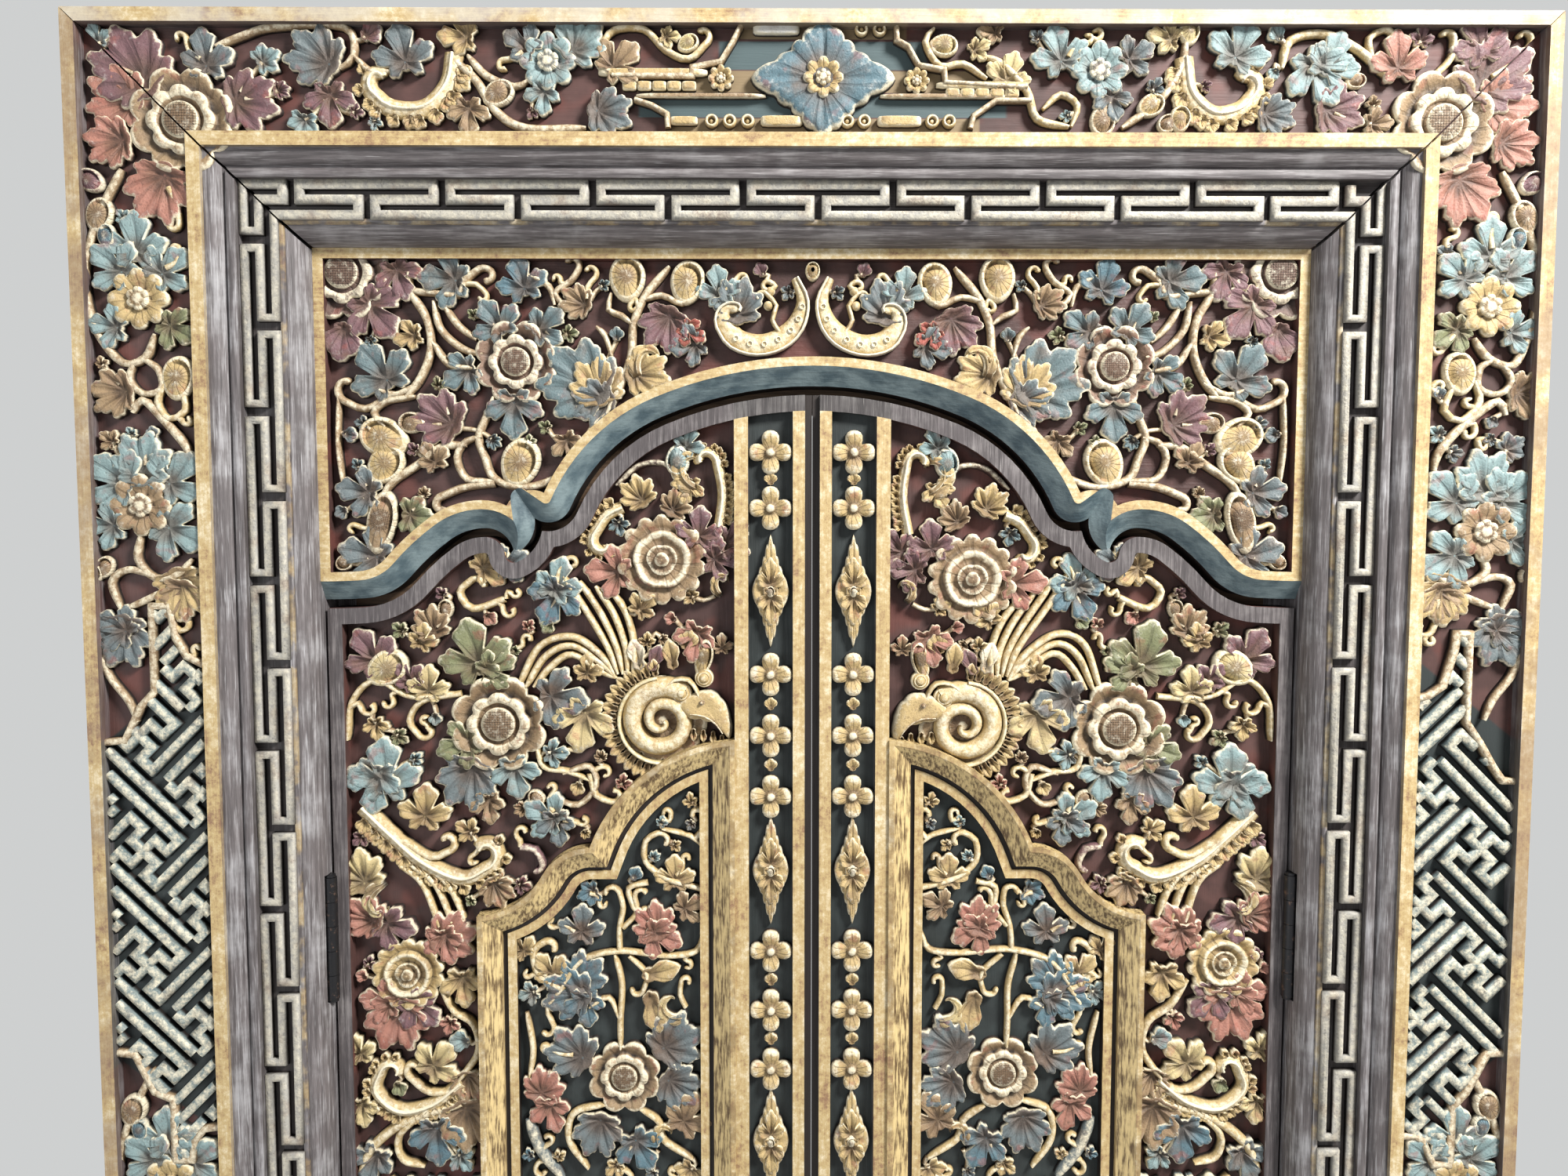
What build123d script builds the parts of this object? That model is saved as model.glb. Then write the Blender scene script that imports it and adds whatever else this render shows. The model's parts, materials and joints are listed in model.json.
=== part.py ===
from build123d import *
import math
import os

# A carved temple door: two arched leaves in a mitred, moulded frame under a cusped head panel.
# Millimetres. X runs along the door's width, Y from its face (-Y) to its back, Z up from the floor.
# Depths are measured back from the front plane of the frame.

# Frame
frame_width = 1400
frame_height = 2350
frame_depth = 120
# Widths across the frame's face, from the outer edge in to the opening
outer_fillet = 13
carved_band = 98
gilt_fillet = 13
roll_width = 18
bead_width = 8
fret_width = 36
inner_bead = 6
inner_roll = 16
inner_roll_radius = 25.6
# Depths of those faces
band_depth = 16
gilt_depth = 3
roll_depth = 8
bead_depth = 15
fret_depth = 30
inner_bead_depth = 27
reveal_depth = 50
quirk = 3
stop_lap = 18
stop_depth = 100
# The mitres have opened with age: closed at the outer corner, wide at the opening
mitre_gap_outer = 0.6
mitre_gap_inner = 3.2
# Loose tenons that hold the mitres, and their pegs
key_length = 150
key_width = 110
key_thickness = 14
key_depth = 74
key_offset = 150
peg_diameter = 10
peg_length = 50
seat_clearance = 0.3
# Threshold
sill_height = 60
sill_stop = 16
sill_nose = 8
tenon_length = 30
tenon_height = 34
tenon_thickness = 22

# Cusped head panel
tympanum_depth = 52
tympanum_border = 10
tympanum_ground = 68
arch_fillet = 9
arch_bevel = 19
arch_bevel_depth = 13
crown_drop = 133
arch_half_span = 492
beak_out = 292
beak_down = 111

# Leaves
leaf_depth = 60
leaf_thickness = 39
leaf_side_gap = 3
leaf_foot_gap = 4
arch_gap = 9
arch_stop_lap = 16
leaf_border = 16
leaf_side_border = 14
field_depth = 78
panel_depth = 83
# Meeting stiles
groove_half = 7.5
tongue_half = 0.35
tongue_front = 65
tongue_back = 71
stile_width = 71
stile_fillet_outer = 14
stile_fillet_inner = 12
stile_front = 57
stile_ground = 70
# Gilt moulding round the lower panel, measured from the door's centre and down from its top
moulding_half = 343
moulding_crown = 698
moulding_cusp = 809
moulding_shoulder = 880
moulding_ogee_run = 67
moulding_ogee_rise = 42
moulding_cusp_run = 116
moulding_lobe_out = 168.5
moulding_lobe_down = 731.5
moulding_foot = 190
moulding_front = 54
moulding_fillet = 5
moulding_slope = 18
moulding_quirk = 5
moulding_inner = 9
moulding_slope_drop = 11
moulding_inner_front = 70
moulding_quirk_depth = 3
# Ledges across the backs of the leaves
ledge_height = 84
ledge_thickness = 18
ledge_end_gap = 8
ledge_chamfer = 5
ledge_lowest = 290
ledge_drop = 710

# Butt hinges
hinge_lowest = 365
hinge_drop = 901
hinge_height = 127
hinge_axis_depth = 53
knuckle_radius = 6.5
knuckle_count = 5
knuckle_gap = 0.5
pin_radius = 3
pin_clearance = 0.08
pin_head = 2.5
pin_head_gap = 0.1
pin_head_inset = 1
plate_thickness = 2.4
plate_gap = 0.6
plate_back = 91
hinge_clearance = 0.4
barrel_room = 1.5

# Where the widths and depths above fall
x_band = outer_fillet
x_gilt = x_band + carved_band
x_roll = x_gilt + gilt_fillet
x_bead = x_roll + roll_width
x_fret = x_bead + bead_width
x_inner = x_fret + fret_width
x_inner_roll = x_inner + inner_bead
face_width = x_inner_roll + inner_roll
opening_half = frame_width / 2 - face_width
opening_top = frame_height - face_width
stop_half = opening_half - stop_lap
leaf_half = opening_half - leaf_side_gap
leaf_foot = sill_height + leaf_foot_gap
leaf_back = leaf_depth + leaf_thickness
stile_edge = groove_half + stile_width
hinge_x = opening_half - leaf_side_gap / 2
plate_seat = plate_thickness - (leaf_side_gap - plate_gap) / 2
# Hinges and ledges stand at three heights: one near the foot, one below the arch, one halfway between
hinge_highest = frame_height - hinge_drop
hinge_heights = {
    "lower": hinge_lowest,
    "middle": (hinge_lowest + hinge_highest) / 2,
    "upper": hinge_highest,
}
ledge_highest = frame_height - ledge_drop
ledge_heights = {
    "lower": ledge_lowest,
    "middle": (ledge_lowest + ledge_highest) / 2,
    "upper": ledge_highest,
}


def face(depth):
    """The upright plane at a depth behind the front of the frame, looking along the door's face."""
    return Plane.XZ.offset(frame_depth / 2 - depth)


def back_of(depth):
    """The Y of a depth behind the front of the frame."""
    return depth - frame_depth / 2


def keep(builder, label):
    """Name a finished piece and write it."""
    builder.part.label = label
    export_step(builder.part, f"parts/{label}.step")


def mirrored(builder, label):
    """The same piece on the other side of the door."""
    with BuildPart() as other:
        mirror(builder.part, about=Plane.YZ)
    keep(other, label)
    return other


os.makedirs("parts", exist_ok=True)

# Section of the frame
# One moulded plank section serves the head and both jambs. Local x runs in from the outer edge of the
# frame and local y runs back from its front plane.
with BuildSketch() as frame_section:
    with BuildLine():
        outer = Polyline(
            (0, frame_depth),
            (0, 0),
            (x_gilt, 0),
            (x_gilt, gilt_depth),
            (x_roll, gilt_depth),
            (x_roll, roll_depth),
        )
        roll = RadiusArc(outer @ 1, (x_bead - quirk, bead_depth + 1), -roll_width)
        roll_quirk = Polyline(
            roll @ 1,
            (x_bead - quirk, bead_depth + quirk),
            (x_bead, bead_depth + quirk),
            (x_bead, bead_depth),
        )
        bead = RadiusArc(roll_quirk @ 1, (x_fret, bead_depth + 1), -bead_width)
        fret = Polyline(
            bead @ 1,
            (x_fret, fret_depth),
            (x_inner, fret_depth),
            (x_inner, inner_bead_depth),
        )
        lip = RadiusArc(fret @ 1, (x_inner_roll - quirk / 2, inner_bead_depth + 1), -inner_bead)
        lip_quirk = Polyline(
            lip @ 1,
            (x_inner_roll - quirk / 2, inner_bead_depth + quirk),
            (x_inner_roll, inner_bead_depth + quirk),
        )
        nose = RadiusArc(lip_quirk @ 1, (face_width, reveal_depth), -inner_roll_radius)
        Polyline(
            nose @ 1,
            (face_width, stop_depth),
            (face_width + stop_lap, stop_depth),
            (face_width + stop_lap, frame_depth),
            (0, frame_depth),
        )
    make_face()

# The mitre line falls from the outer corner to the inner corner of the frame. Each plank is trimmed back
# from it by half of the gap.
corner_x = -frame_width / 2
mitre_run = face_width + stop_lap
gap_at_run = mitre_gap_outer + (mitre_gap_inner - mitre_gap_outer) * mitre_run / face_width
half_outer = mitre_gap_outer / math.sqrt(2)
half_inner = gap_at_run / math.sqrt(2)

# A loose tenon lies across each mitre, square to it and centred on it
key_plane = Plane(
    origin=(corner_x + key_offset, back_of(key_depth), frame_height - key_offset),
    x_dir=(1, 0, -1),
    z_dir=(0, 1, 0),
)


def peg_holes():
    """Two peg holes a side of the mitre's line, bored in from the back of the frame."""
    with BuildSketch(key_plane.offset(frame_depth - key_depth)) as holes:
        with GridLocations(0, key_width / 2, 1, 2):
            Circle(peg_diameter / 2 + seat_clearance / 2)
    extrude(holes.sketch, amount=-peg_length, mode=Mode.SUBTRACT)


def key_slot():
    """The room that a loose tenon takes out of both planks of a corner."""
    with BuildSketch(key_plane) as slot:
        Rectangle(key_length + 2 * seat_clearance, key_width + 2 * seat_clearance)
    extrude(slot.sketch, amount=key_thickness, mode=Mode.SUBTRACT)


# Frame head
head_end = Plane(origin=(corner_x, -frame_depth / 2, frame_height), x_dir=(0, 0, -1), z_dir=(1, 0, 0))
with BuildPart() as frame_head:
    with BuildSketch(head_end):
        add(frame_section.sketch)
    extrude(amount=frame_width / 2)
    with BuildSketch(head_end):
        with Locations(((x_band + x_gilt) / 2, band_depth / 2)):
            Rectangle(carved_band, band_depth)
    extrude(amount=frame_width / 2, mode=Mode.SUBTRACT)
    with BuildSketch(face(0)):
        Polygon(
            (corner_x, frame_height),
            (corner_x + half_outer, frame_height),
            (corner_x + mitre_run + half_inner, frame_height - mitre_run),
            (corner_x, frame_height - mitre_run),
            align=None,
        )
    extrude(amount=-frame_depth, mode=Mode.SUBTRACT)
    key_slot()
    peg_holes()
    mirror(about=Plane.YZ)
keep(frame_head, "frame_head")

# Frame jambs
with BuildPart() as frame_jamb_left:
    with BuildSketch(Plane(origin=(corner_x, -frame_depth / 2, 0), x_dir=(1, 0, 0), z_dir=(0, 0, 1))):
        add(frame_section.sketch)
    extrude(amount=frame_height)
    with BuildSketch(face(0)):
        with Locations(((corner_x + (x_band + x_gilt) / 2), (frame_height + outer_fillet) / 2)):
            Rectangle(carved_band, frame_height - outer_fillet)
    extrude(amount=-band_depth, mode=Mode.SUBTRACT)
    with BuildSketch(face(0)):
        Polygon(
            (corner_x, frame_height),
            (corner_x, frame_height - half_outer),
            (corner_x + mitre_run, frame_height - mitre_run - half_inner),
            (corner_x + mitre_run, frame_height),
            align=None,
        )
    extrude(amount=-frame_depth, mode=Mode.SUBTRACT)
    key_slot()
    peg_holes()
    # mortise for the threshold's tenon
    with BuildSketch(Plane.YZ.offset(-opening_half)):
        with Locations((back_of((tympanum_depth + stop_depth) / 2), sill_height / 2)):
            Rectangle(tenon_thickness + 2 * seat_clearance, tenon_height + 2 * seat_clearance)
    extrude(amount=-tenon_length - seat_clearance, mode=Mode.SUBTRACT)
    # gains for the hinges: room for the barrel in the moulding's nose, and a shallow seat for the plate
    for height in hinge_heights.values():
        barrel_foot = height - hinge_height / 2 - pin_head - hinge_clearance
        with BuildSketch(Plane.XY.offset(barrel_foot)):
            with Locations((-opening_half, back_of(hinge_axis_depth))):
                Rectangle(2 * (knuckle_radius + barrel_room), 2 * (knuckle_radius + barrel_room))
        extrude(amount=hinge_height + 2 * (pin_head + hinge_clearance), mode=Mode.SUBTRACT)
        with BuildSketch(Plane.XY.offset(height - hinge_height / 2 - hinge_clearance)):
            with Locations((-opening_half, back_of((hinge_axis_depth + plate_back) / 2))):
                Rectangle(2 * plate_seat, plate_back - hinge_axis_depth + 2 * hinge_clearance)
        extrude(amount=hinge_height + 2 * hinge_clearance, mode=Mode.SUBTRACT)
keep(frame_jamb_left, "frame_jamb_left")
frame_jamb_right = mirrored(frame_jamb_left, "frame_jamb_right")

# Loose tenons and pegs at the mitres
with BuildPart() as corner_key_left:
    with BuildSketch(key_plane):
        Rectangle(key_length, key_width)
    extrude(amount=key_thickness)
    peg_holes()
keep(corner_key_left, "corner_key_left")
corner_key_right = mirrored(corner_key_left, "corner_key_right")

with BuildPart() as frame_pegs:
    with BuildSketch(key_plane.offset(frame_depth - key_depth)):
        with GridLocations(0, key_width / 2, 1, 2):
            Circle(peg_diameter / 2)
    extrude(amount=-peg_length + seat_clearance)
    mirror(about=Plane.YZ)
keep(frame_pegs, "frame_pegs")

# Threshold
with BuildPart() as frame_sill:
    with BuildSketch():
        with Locations((0, back_of((tympanum_depth + stop_depth) / 2))):
            Rectangle(2 * opening_half, stop_depth - tympanum_depth)
        with Locations((0, back_of((stop_depth + frame_depth) / 2))):
            Rectangle(2 * stop_half, frame_depth - stop_depth)
    extrude(amount=sill_height)
    nose_edge = frame_sill.edges().filter_by(Axis.X).group_by(Axis.Y)[0].sort_by(Axis.Z)[-1]
    fillet(nose_edge, radius=sill_nose)
    with BuildSketch(Plane.XY.offset(sill_height)):
        with Locations((0, back_of((stop_depth + frame_depth) / 2))):
            Rectangle(2 * stop_half, frame_depth - stop_depth)
    extrude(amount=sill_stop)
    with BuildSketch(Plane.YZ.offset(-opening_half - tenon_length)):
        with Locations((back_of((tympanum_depth + stop_depth) / 2), sill_height / 2)):
            Rectangle(tenon_thickness, tenon_height)
    extrude(amount=2 * (opening_half + tenon_length))
keep(frame_sill, "frame_sill")

# Arch of the head panel
# Half of its lower edge, from the crown out to the jamb: one long sweep that ends in a round lobe, a
# notch, a hooked cusp, and an ogee shoulder. Points are (from the centre line, down from the crown).
spread = opening_half / arch_half_span
crown_height = frame_height - face_width - crown_drop


def arch_point(out, down):
    """A point of the arch in the sheet of the door's face."""
    return (out * spread, crown_height - down)


def arch_edge():
    """Draw the right half of the arch's lower edge and return its last point."""
    crown = TangentArc(arch_point(0, 0), arch_point(150, 30), tangent=(1, 0))
    haunch = TangentArc(crown @ 1, arch_point(244, 122), tangent=crown % 1)
    lobe = TangentArc(haunch @ 1, arch_point(280, 132), tangent=haunch % 1)
    hook = ThreePointArc(lobe @ 1, arch_point(284.5, 153.5), arch_point(301, 168))
    curl = TangentArc(hook @ 1, arch_point(330, 142), tangent=(0.1, 1))
    shoulder = TangentArc(curl @ 1, arch_point(365, 153.5), tangent=curl % 1)
    slope = TangentArc(shoulder @ 1, arch_point(405, 190), tangent=shoulder % 1)
    ogee = TangentArc(slope @ 1, arch_point(452, 213), tangent=slope % 1)
    foot = TangentArc(ogee @ 1, arch_point(arch_half_span, 214.2), tangent=ogee % 1)
    return foot @ 1


with BuildSketch() as tympanum_face:
    with BuildLine() as half:
        last = arch_edge()
        Polyline(last, (opening_half, opening_top), (0, opening_top), arch_point(0, 0))
    make_face()
    mirror(about=Plane.YZ)

# Everything under the arch, as far as the leaves' sheet needs
with BuildSketch() as below_arch:
    with Locations((0, opening_top / 2)):
        Rectangle(2 * opening_half, opening_top)
    add(tympanum_face.sketch, mode=Mode.SUBTRACT)


def under_arch(clearance, left, right, bottom):
    """The sheet between two uprights, from a foot line up to a line that runs below the arch."""
    with BuildSketch() as sheet:
        with Locations(((left + right) / 2, (bottom + opening_top) / 2)):
            Rectangle(right - left, opening_top - bottom)
        offset(tympanum_face.sketch, amount=clearance, kind=Kind.ARC, mode=Mode.SUBTRACT)
    return sheet.sketch


# Tympanum
# A bevel falls back from the face of the panel to the arch's edge. The middle of the panel is sunk inside
# a narrow border, as the ground of its carving.
with BuildLine() as arch_line:
    arch_edge()
    mirror(about=Plane.YZ)
arch_path = Plane.XZ.location * arch_line.line.wires()[0]

with BuildSketch() as tympanum_pocket:
    with Locations((0, (opening_top - tympanum_border) / 2)):
        Rectangle(2 * (opening_half - tympanum_border), opening_top - tympanum_border)
    offset(below_arch.sketch, amount=arch_bevel + arch_fillet, kind=Kind.ARC, mode=Mode.SUBTRACT)
    with Locations(arch_point(beak_out, beak_down), arch_point(-beak_out, beak_down)):
        Circle(arch_fillet, mode=Mode.SUBTRACT)

with BuildPart() as tympanum:
    with BuildSketch(face(tympanum_depth)):
        add(tympanum_face.sketch)
    extrude(amount=tympanum_depth - stop_depth)
    with BuildSketch(Plane(origin=arch_path @ 0, x_dir=(0, 0, 1), z_dir=(1, 0, 0))) as bevel_section:
        Polygon(
            (-1, -back_of(tympanum_depth - 1)),
            (-1, -back_of(tympanum_depth + arch_bevel_depth)),
            (0, -back_of(tympanum_depth + arch_bevel_depth)),
            (arch_bevel, -back_of(tympanum_depth)),
            (arch_bevel, -back_of(tympanum_depth - 1)),
            align=None,
        )
    sweep(bevel_section.sketch, path=arch_path, transition=Transition.RIGHT, mode=Mode.SUBTRACT)
    with BuildSketch(face(tympanum_depth)):
        add(tympanum_pocket.sketch)
    extrude(amount=tympanum_depth - tympanum_ground, mode=Mode.SUBTRACT)
keep(tympanum, "tympanum")

# Arch stop
# A board behind the panel follows the arch a little lower, so that the leaves shut against it.
with BuildPart() as arch_stop_board:
    with BuildSketch(face(stop_depth)):
        with Locations((0, (opening_top - stop_lap) / 2)):
            Rectangle(2 * stop_half, opening_top - stop_lap)
        offset(tympanum_face.sketch, amount=arch_gap + arch_stop_lap, kind=Kind.ARC, mode=Mode.INTERSECT)
    extrude(amount=stop_depth - frame_depth)
keep(arch_stop_board, "arch_stop_board")

# Outline of the gilt moulding
# The moulding runs round the lower panel of the left leaf: up the stile side, over a lobe to a cusp, over
# a second smaller lobe and down an ogee to the hinge side. Its points are the outer edge's.
def moulding_point(out, down):
    """A point of the left leaf, measured from the centre line and down from the top of the door."""
    return (-out, frame_height - down)


with BuildLine() as moulding_line:
    hinge_side = Line((-moulding_half, moulding_foot), moulding_point(moulding_half, moulding_shoulder))
    ogee_foot = TangentArc(
        hinge_side @ 1,
        moulding_point(moulding_half - moulding_ogee_run, moulding_shoulder - moulding_ogee_rise),
        tangent=(1, 0.05),
    )
    small_lobe = TangentArc(
        ogee_foot @ 1,
        moulding_point(moulding_half - moulding_cusp_run, moulding_cusp),
        tangent=ogee_foot % 1,
    )
    great_lobe = ThreePointArc(
        small_lobe @ 1,
        moulding_point(moulding_lobe_out, moulding_lobe_down),
        moulding_point(stile_edge, moulding_crown),
    )
    stile_side = Line(great_lobe @ 1, (-stile_edge, moulding_foot))
    Line(stile_side @ 1, hinge_side @ 0)

with BuildSketch() as moulding_sheet:
    add(moulding_line.line)
    make_face()

# Leaf board
# The carved board is sunk inside a plain border that follows the arch, and a little deeper inside the
# gilt moulding. It stops at the edge of the meeting stile.
with BuildPart() as leaf_board_left:
    with BuildSketch(face(leaf_depth)):
        add(under_arch(arch_gap, -leaf_half, -stile_edge, leaf_foot))
    extrude(amount=-leaf_thickness)
    field = under_arch(
        arch_gap + leaf_border,
        -leaf_half + leaf_side_border,
        -stile_edge,
        leaf_foot + leaf_side_border,
    )
    with BuildSketch(face(leaf_depth)):
        add(field)
    extrude(amount=leaf_depth - field_depth, mode=Mode.SUBTRACT)
    with BuildSketch(face(field_depth)):
        add(moulding_sheet.sketch)
    extrude(amount=field_depth - panel_depth, mode=Mode.SUBTRACT)
    # seats for the hinge plates in the board's edge
    for height in hinge_heights.values():
        with BuildSketch(Plane.XY.offset(height - hinge_height / 2 - hinge_clearance)):
            with Locations((-leaf_half, back_of((leaf_depth + plate_back) / 2))):
                Rectangle(2 * plate_seat, plate_back - leaf_depth + 2 * hinge_clearance)
        extrude(amount=hinge_height + 2 * hinge_clearance, mode=Mode.SUBTRACT)
keep(leaf_board_left, "leaf_board_left")
leaf_board_right = mirrored(leaf_board_left, "leaf_board_right")

# Meeting stile
# A full-height upright with two gilt fillets and a sunk ground between them. Behind its edge a thin
# tongue nearly meets the other leaf's, at the bottom of the dark groove between the leaves.
ground_left = -stile_edge + stile_fillet_outer
ground_right = -groove_half - stile_fillet_inner
stile_ground_top = arch_gap + leaf_border
with BuildPart() as meeting_stile_left:
    with BuildSketch(face(leaf_depth)):
        add(under_arch(arch_gap, -stile_edge, -groove_half, leaf_foot))
    extrude(amount=-leaf_thickness)
    with BuildSketch(face(leaf_depth)):
        add(under_arch(stile_ground_top, -stile_edge, ground_left, leaf_foot + leaf_side_border))
        add(under_arch(stile_ground_top, ground_right, -groove_half, leaf_foot + leaf_side_border))
    extrude(amount=leaf_depth - stile_front)
    with BuildSketch(face(leaf_depth)):
        add(under_arch(stile_ground_top, ground_left, ground_right, leaf_foot + leaf_side_border))
    extrude(amount=leaf_depth - stile_ground, mode=Mode.SUBTRACT)
    with BuildSketch(face(tongue_front)):
        add(under_arch(arch_gap, -groove_half, -tongue_half, leaf_foot))
    extrude(amount=tongue_front - tongue_back)
keep(meeting_stile_left, "meeting_stile_left")
meeting_stile_right = mirrored(meeting_stile_left, "meeting_stile_right")

# Panel moulding
# One mitred run of moulding, let a little way into the board. Its section has an outer fillet, a slope
# down towards the panel, a quirk, and a lower inner fillet.
moulding_path = Plane.XZ.location * moulding_line.line.wires()[0]
moulding_start = moulding_path @ 0
slope_end = moulding_fillet + moulding_slope
quirk_end = slope_end + moulding_quirk
moulding_width = quirk_end + moulding_inner
with BuildPart() as panel_moulding_left:
    section_plane = Plane(origin=(moulding_start.X, -frame_depth / 2, moulding_start.Z), x_dir=(1, 0, 0))
    with BuildSketch(section_plane) as moulding_section:
        Polygon(
            (0, panel_depth),
            (0, moulding_front),
            (moulding_fillet, moulding_front),
            (slope_end, moulding_front + moulding_slope_drop),
            (slope_end, moulding_inner_front + moulding_quirk_depth),
            (quirk_end, moulding_inner_front + moulding_quirk_depth),
            (quirk_end, moulding_inner_front),
            (moulding_width, moulding_inner_front),
            (moulding_width, panel_depth),
            align=None,
        )
    sweep(moulding_section.sketch, path=moulding_path, transition=Transition.RIGHT)
keep(panel_moulding_left, "panel_moulding_left")
panel_moulding_right = mirrored(panel_moulding_left, "panel_moulding_right")

# Ledges
# Three battens with bevelled edges are nailed across the back of each leaf.
ledge_left_end = -stop_half + ledge_end_gap
ledge_right_end = -tongue_half - ledge_end_gap
for name, height in ledge_heights.items():
    with BuildPart() as ledge:
        with BuildSketch(face(leaf_back)):
            with Locations(((ledge_left_end + ledge_right_end) / 2, height)):
                Rectangle(ledge_right_end - ledge_left_end, ledge_height)
        extrude(amount=-ledge_thickness)
        chamfer(ledge.faces().sort_by(Axis.Y)[-1].edges(), length=ledge_chamfer)
    keep(ledge, f"back_ledge_left_{name}")
    mirrored(ledge, f"back_ledge_right_{name}")

# Butt hinges
# Each has a plate let into the jamb with three knuckles, a plate let into the leaf's edge with two, and a
# pin with a flat button at each end. The axis stands in front of the leaf, so that the leaf opens outwards.
axis_y = back_of(hinge_axis_depth)
knuckle_pitch = hinge_height / knuckle_count
jamb_plate_x = -hinge_x - plate_gap / 2 - plate_thickness / 2
leaf_plate_x = -hinge_x + plate_gap / 2 + plate_thickness / 2
plate_front = axis_y + knuckle_radius + hinge_clearance
bore_radius = pin_radius + pin_clearance


def knuckle_box(plate_x, bottom, height):
    """The tab of a plate that reaches round to one knuckle, and the knuckle itself."""
    with BuildSketch(Plane.XY.offset(bottom)) as tab:
        with Locations((plate_x, (axis_y + plate_front) / 2)):
            Rectangle(plate_thickness, plate_front - axis_y)
        with Locations((-hinge_x, axis_y)):
            Circle(knuckle_radius)
    extrude(tab.sketch, amount=height)


def hinge_plate(plate_x, foot, first):
    """A hinge plate with every second knuckle and its bore."""
    with BuildPart() as plate:
        with BuildSketch(Plane.XY.offset(foot)):
            with Locations((plate_x, (plate_front + back_of(plate_back)) / 2)):
                Rectangle(plate_thickness, back_of(plate_back) - plate_front)
        extrude(amount=hinge_height)
        for turn in range(first, knuckle_count, 2):
            knuckle_box(plate_x, foot + turn * knuckle_pitch + knuckle_gap / 2, knuckle_pitch - knuckle_gap)
        with BuildSketch(Plane.XY.offset(foot)):
            with Locations((-hinge_x, axis_y)):
                Circle(bore_radius)
        extrude(amount=hinge_height, mode=Mode.SUBTRACT)
    return plate


for name, height in hinge_heights.items():
    foot = height - hinge_height / 2
    jamb_plate = hinge_plate(jamb_plate_x, foot, 0)
    keep(jamb_plate, f"hinge_jamb_plate_left_{name}")
    mirrored(jamb_plate, f"hinge_jamb_plate_right_{name}")
    leaf_plate = hinge_plate(leaf_plate_x, foot, 1)
    keep(leaf_plate, f"hinge_leaf_plate_left_{name}")
    mirrored(leaf_plate, f"hinge_leaf_plate_right_{name}")
    with BuildPart() as pin:
        with BuildSketch(Plane.XY.offset(foot - pin_head)):
            with Locations((-hinge_x, axis_y)):
                Circle(pin_radius)
        extrude(amount=hinge_height + 2 * pin_head)
        for head in (foot - pin_head, foot + hinge_height + pin_head_gap):
            with BuildSketch(Plane.XY.offset(head)):
                with Locations((-hinge_x, axis_y)):
                    Circle(knuckle_radius - pin_head_inset)
            extrude(amount=pin_head - pin_head_gap)
    keep(pin, f"hinge_pin_left_{name}")
    mirrored(pin, f"hinge_pin_right_{name}")
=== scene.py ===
# %% [markdown]
# # A carved temple door
# The real door is a joiner's frame and two leaves, with every sunk face filled by carved foliage and then
# painted and gilded. The CAD parts hold the joinery. This lesson adds the carver's and the painter's
# work. Everything carved is drawn flat on a bench, in millimetres, and then stood up against its ground.
# Each piece rides on the body that it is nailed to, so it swings with its leaf.

# %% Load the joinery
import json
import math

import bmesh
import bpy
import numpy as np
from mathutils import Matrix, Vector
from mathutils.bvhtree import BVHTree

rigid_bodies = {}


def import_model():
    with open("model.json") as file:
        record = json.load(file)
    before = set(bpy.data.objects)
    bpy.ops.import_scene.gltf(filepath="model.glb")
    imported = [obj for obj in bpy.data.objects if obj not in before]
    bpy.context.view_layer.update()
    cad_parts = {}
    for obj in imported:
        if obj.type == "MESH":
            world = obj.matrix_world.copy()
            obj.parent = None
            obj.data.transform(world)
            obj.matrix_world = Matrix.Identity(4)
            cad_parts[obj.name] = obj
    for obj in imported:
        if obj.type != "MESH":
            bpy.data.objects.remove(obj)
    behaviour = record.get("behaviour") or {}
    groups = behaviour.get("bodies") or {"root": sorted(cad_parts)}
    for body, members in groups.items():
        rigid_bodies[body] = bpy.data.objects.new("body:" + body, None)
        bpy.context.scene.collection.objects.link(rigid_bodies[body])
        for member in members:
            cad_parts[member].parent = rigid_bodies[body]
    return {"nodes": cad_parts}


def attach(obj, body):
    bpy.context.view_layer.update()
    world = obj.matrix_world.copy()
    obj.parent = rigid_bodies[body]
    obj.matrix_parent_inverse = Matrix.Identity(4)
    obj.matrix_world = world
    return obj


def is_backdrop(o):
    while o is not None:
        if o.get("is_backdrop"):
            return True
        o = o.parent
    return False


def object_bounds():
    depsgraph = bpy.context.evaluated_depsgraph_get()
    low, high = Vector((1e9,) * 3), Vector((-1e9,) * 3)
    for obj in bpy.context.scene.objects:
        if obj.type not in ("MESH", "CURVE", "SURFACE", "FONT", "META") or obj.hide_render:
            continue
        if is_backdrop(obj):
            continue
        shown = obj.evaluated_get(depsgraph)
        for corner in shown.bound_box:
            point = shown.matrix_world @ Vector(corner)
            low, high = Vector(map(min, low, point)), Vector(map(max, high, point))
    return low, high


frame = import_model()
cad_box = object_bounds()
nodes = frame["nodes"]
MM = 0.001
door_top = cad_box[1][2] / MM
door_half = cad_box[1][0] / MM
# How far back each sunk ground lies, and after how far the jamb's work repeats, all in millimetres.
BAND_GROUND, FRET_GROUND, HEAD_GROUND = -44, -30, 8
STILE_GROUND, FIELD_GROUND, PANEL_GROUND = 10, 18, 23
JAMB_RHYTHM = 872
CARTOUCHE_MIDDLE = 8
print("door", round(2 * door_half), "by", round(door_top), "mm")


def placed(name, data):
    """A new object in the scene that shows the given data."""
    made = bpy.data.objects.new(name, data)
    bpy.context.scene.collection.objects.link(made)
    return made

# %% [markdown]
# ## The camera
# The photograph was taken from close by, near the top of the door, looking a little down. A pinhole
# camera fitted to the frame's straight edges gives the place and the lens. Setting it by eye would be
# quicker, but long straight edges show a wrong lens at once.

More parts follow.
